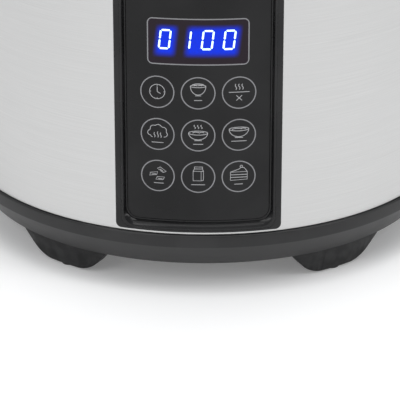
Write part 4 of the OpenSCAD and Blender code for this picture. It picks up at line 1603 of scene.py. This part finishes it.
        cake = (
            loop((-0.5, 0.3), (0.52, 0.3), (0.52, -0.2), (-0.5, -0.24)),
            line((-0.5, 0.3), (0.04, 0.5), (0.14, 0.6), (0.34, 0.56), (0.52, 0.3)),
            rule(0.01, 0.12, 0.51), rule(0.01, -0.05, 0.51),
            loop(*arc((0.16, 0.66), (0.08, 0.07), 0, 360, 8)[:-1]),
        )
        return {
            (-1, 1): Icon((*clock, *ticks)),
            (0, 1): Icon((*rice, rule(0, -0.46, 0.24))),
            (1, 1): Icon((*heat, rule(0, 0.04, 0.62), *cross)),
            (-1, 0): Icon((line(*cloud), *puffs, rule(0, -0.54, 0.36))),
            (0, 0): Icon((*soup, rule(0, -0.57, 0.3))),
            (1, 0): Icon((*porridge, rule(0, -0.4, 0.46))),
            (-1, -1): Icon((*pasta, rule(0.06, -0.48, 0.3))),
            (0, -1): Icon((*carton, rule(0, -0.5, 0.42))),
            (1, -1): Icon((*cake, rule(0, -0.5, 0.26))),
        }

    def key_rings(self) -> Piece:
        """Nine thin printed rings, copied from one flattened ring.

        Returns:
            The rings.
        """
        select_only()
        bpy.ops.mesh.primitive_torus_add(
            major_radius=self.key_radius * MM, minor_radius=self.ring_line * MM,
            major_segments=72, minor_segments=8,
            rotation=(math.pi / 2, 0, 0),
        )
        ring = adopt("key_ring")
        with editing(ring, "VERT"):
            select_mesh()
            bpy.ops.transform.resize(value=(1, 0.16, 1), center_override=(0, 0, 0))
        rings = [
            copied(ring, f"ring_{col}_{row}", self.key_spot(col, row))
            for col in (-1, 0, 1) for row in (-1, 0, 1)
        ]
        bpy.data.objects.remove(ring)
        return wrap(joined("key_ring_prints", rings), self.coarse_strip * MM)

    def key_spot(self, col: int, row: int) -> Place:
        """Middle of a key on the unrolled lens, in metres."""
        across = math.radians(col * self.key_step) * WRAP_R
        return across, WRAP_R - self.lens_radius * MM, (self.key_middle + row * self.key_pitch) * MM

    def symbols(self) -> Piece:
        """Printed symbols and bars of all keys, as flattened wire.

        Returns:
            The symbols.
        """
        strokes: list[tuple[list[Place], bool]] = []
        for (col, row), icon in self.icons().items():
            x, y, z = self.key_spot(col, row)
            for points, closed in icon.strokes:
                scale = self.key_radius * MM
                strokes.append(([(x + a * scale, 0, z + b * scale) for a, b in points], closed))
        piece = wire_mesh("key_symbol_prints", strokes, self.symbol_line * MM)
        with editing(piece, "VERT"):
            select_mesh()
            bpy.ops.transform.resize(value=(1, 0.2, 1), center_override=(0, 0, 0))
        return wrap(place(piece, (0, WRAP_R - self.lens_radius * MM, 0)), self.coarse_strip * MM)

    def build(self) -> None:
        """Build and dress every piece."""
        palette = self.palette
        self.dress(self.housing_frame(), Slot.BLACK_GLOSS, palette.gloss, "control_fascia")
        self.dress(self.lens(), Slot.PANEL_LENS, palette.lens, "panel_lens")
        self.dress(self.lens_seal(), Slot.BLACK_GLOSS, palette.gloss)
        self.dress(self.display_frame(), Slot.PANEL_LENS, palette.frame_ink_painted_glow)
        self.dress(self.window(), Slot.PANEL_LENS, palette.window)
        self.dress(self.digits(), Slot.PANEL_LENS, palette.digit)
        self.dress(self.key_rings(), Slot.PANEL_LENS, palette.frame_ink_painted_glow)
        self.dress(self.symbols(), Slot.PANEL_LENS, palette.ink)
        self.paint(palette.board, "control_board")
        self.paint(palette.solid_smoke, "display_module")
        self.paint(palette.steel, "touch_springs")
        self.paint(palette.rubber, "buzzer")


@dataclass
class RoundedNodes(SubAssembly):
    """Pieces whose CAD shape is right and only needs its edges rounded."""

    def build(self) -> None:
        """Copy each node, round its edges and dress it, and paint the nodes that stay as they are."""
        p = self.palette
        gloss, satin = (Slot.BLACK_GLOSS, p.gloss), (Slot.BLACK_SATIN, p.satin)
        steel, alloy = (Slot.PLAIN_STEEL, p.steel), (Slot.CAST_ALLOY, p.alloy)
        silicone = (Slot.LIGHT_SILICONE, p.silicone)
        copies = (
            ("collar", "top_collar", gloss, Body.HOUSING, 0.4),
            ("lid_shell", "lid_moulding", gloss, Body.LID, 0.4),
            ("lid_plate", "lid_disc", (Slot.BRUSHED_STEEL, p.lid_disc), Body.LID, 0.25),
            ("lid_liner", "lid_inner_moulding", satin, Body.LID, 0.4),
            ("lid_screws", "lid_liner_screws", steel, Body.LID, 0.2),
            ("inner_lid", "inner_lid_sheet", alloy, Body.LID, 0.2),
            ("lid_gasket", "lid_sealing_ring", silicone, Body.LID, 0.3),
            ("inner_lid_grommet", "centre_grommet", silicone, Body.LID, 0.3),
            ("latch_button", "release_button", gloss, Body.BUTTON, 0.5),
            ("latch_hook", "catch_hook", alloy, Body.HOOK, 0.3),
            ("valve_body", "steam_valve_body", satin, Body.VALVE, 0.4),
            ("valve_cap", "steam_valve_cap", gloss, Body.VALVE, 0.4),
            ("valve_seal", "steam_valve_seal", silicone, Body.VALVE, 0.2),
            ("carry_handle", "carrying_handle", satin, Body.HANDLE, 0.4),
            ("handle_grip", "soft_grip", (Slot.DARK_RUBBER, p.rubber), Body.HANDLE, 0.4),
            ("handle_pivots", "handle_pins", steel, Body.HOUSING, 0.3),
            ("condensate_cup", "drip_cup", (Slot.SMOKE_PLASTIC, p.smoke), Body.CUP, 0.4),
            ("cup_bracket", "drip_cup_guide", satin, Body.HOUSING, 0.15),
            ("power_inlet", "mains_inlet_socket", satin, Body.HOUSING, 0.4),
            ("inlet_pins", "mains_inlet_blades", steel, Body.HOUSING, 0.3),
            ("inner_pot", "cooking_pot", (Slot.POT_COATING, p.pot), Body.HOUSING, 0.3),
            ("heating_plate", "cast_heating_plate", alloy, Body.HOUSING, 0.4),
            ("sensor_cap", "sensor_button", alloy, Body.SENSOR, 0.3),
        )
        for node, name, (slot, finish), body, edge in copies:
            self.dress(from_node(node, name, edge * MM), slot, finish, node, body=body)
        self.paint(p.alloy, "chamber", "chamber_posts", "heater_standoffs")
        self.paint(p.steel, "latch_keeper", "heater_element", "hinge_pin", "hinge_spring", "latch_springs",
                   "latch_pin", "sensor_spring")
        self.paint(p.silicone, "side_heater", "thermal_fuse")
        self.paint(p.solid_smoke, "power_components")
        self.paint(p.board, "power_board")
        self.paint(p.wire, "mains_wires")
        self.paint(p.satin, "sensor_housing")


# ---- Studio ----


@dataclass
class Studio:
    """Plain pale floor, soft lights and the camera."""

    camera_place: Place = (0.0362, -1.3748, 0.5932)
    camera_aim: Place = (-0.0261, 0.9169, -0.3983)
    lens: float = 225.0
    sensor: float = 36.0
    aim_height: float = 0.12
    sky_colour: tuple[float, float, float, float] = (0.96, 0.975, 1.0, 1)
    sky_strength: float = 0.42

    def floor(self) -> None:
        """Add the floor, its edge far away."""
        select_only()
        bpy.ops.mesh.primitive_circle_add(vertices=96, radius=30, fill_type="NGON")
        floor = adopt("studio_floor")
        material, board, shader, spot = new_material("pale_floor")
        noise = board.add("TexNoise", {"Vector": spot, "Scale": 3.0, "Detail": 2.0})
        tone = board.mix(noise.outputs[0], (0.9, 0.9, 0.9, 1), (0.92, 0.92, 0.92, 1))
        board.put(shader, "Base Color", tone)
        board.put(shader, "Roughness", 0.75)
        board.put(shader, "Emission Color", (1.0, 1.0, 1.0, 1.0))
        board.put(shader, "Emission Strength", 0.16)
        board.put(shader, "Specular IOR Level", 0.15)
        floor.data.materials.append(material)

    def softbox(
        self, name: str, azimuth: float, reach: float, height: float, size: Point, power: float
    ) -> None:
        """Add an area light that faces the object and that the camera doesn't see.

        Args:
            name: The light's name.
            azimuth: Its direction, in degrees from the front towards the right.
            reach: Its distance from the axis.
            height: Its height.
            size: Its width and height.
            power: Its power in watts.
        """
        data = bpy.data.lights.new(name, "AREA")
        data.shape = "RECTANGLE"
        data.size, data.size_y = size
        data.energy = power
        light = bpy.data.objects.new(name, data)
        bpy.context.scene.collection.objects.link(light)
        turn = math.radians(azimuth)
        light.location = (reach * math.sin(turn), -reach * math.cos(turn), height)
        aim = Vector((0, 0, self.aim_height)) - Vector(light.location)
        light.rotation_euler = aim.to_track_quat("-Z", "Y").to_euler()
        light.visible_camera = False

    def build(self) -> None:
        """Build the floor, the light and the camera."""
        self.floor()
        world = bpy.data.worlds.new("studio")
        world.use_nodes = True
        sky = world.node_tree.nodes["Background"]
        sky.inputs["Color"].default_value = self.sky_colour
        sky.inputs["Strength"].default_value = self.sky_strength
        bpy.context.scene.world = world
        bpy.context.scene.view_settings.view_transform = "Standard"
        self.softbox("key_left", azimuth=-36, reach=2.4, height=1.5, size=(0.9, 1.6), power=14)
        self.softbox("key_right", azimuth=64, reach=2.3, height=1.4, size=(0.6, 1.6), power=11)
        self.softbox("overhead", azimuth=10, reach=0.4, height=2.6, size=(2.4, 2.4), power=42)
        data = bpy.data.cameras.new("camera")
        data.lens, data.sensor_width = self.lens, self.sensor
        camera = bpy.data.objects.new("camera", data)
        bpy.context.scene.collection.objects.link(camera)
        camera.location = self.camera_place
        camera.rotation_euler = Vector(self.camera_aim).to_track_quat("-Z", "Y").to_euler()
        bpy.context.scene.camera = camera


def main() -> None:
    """Build the studio and every sub-assembly in order, and report each piece."""
    logging.basicConfig(level=logging.INFO, format="%(message)s")
    Studio().build()
    palette = Palette()
    for assembly in (Base(palette), Jacket(palette), ControlPanel(palette), RoundedNodes(palette)):
        LOG.info("building %s", type(assembly).__name__)
        assembly.build()


if __name__ == "__main__":
    main()
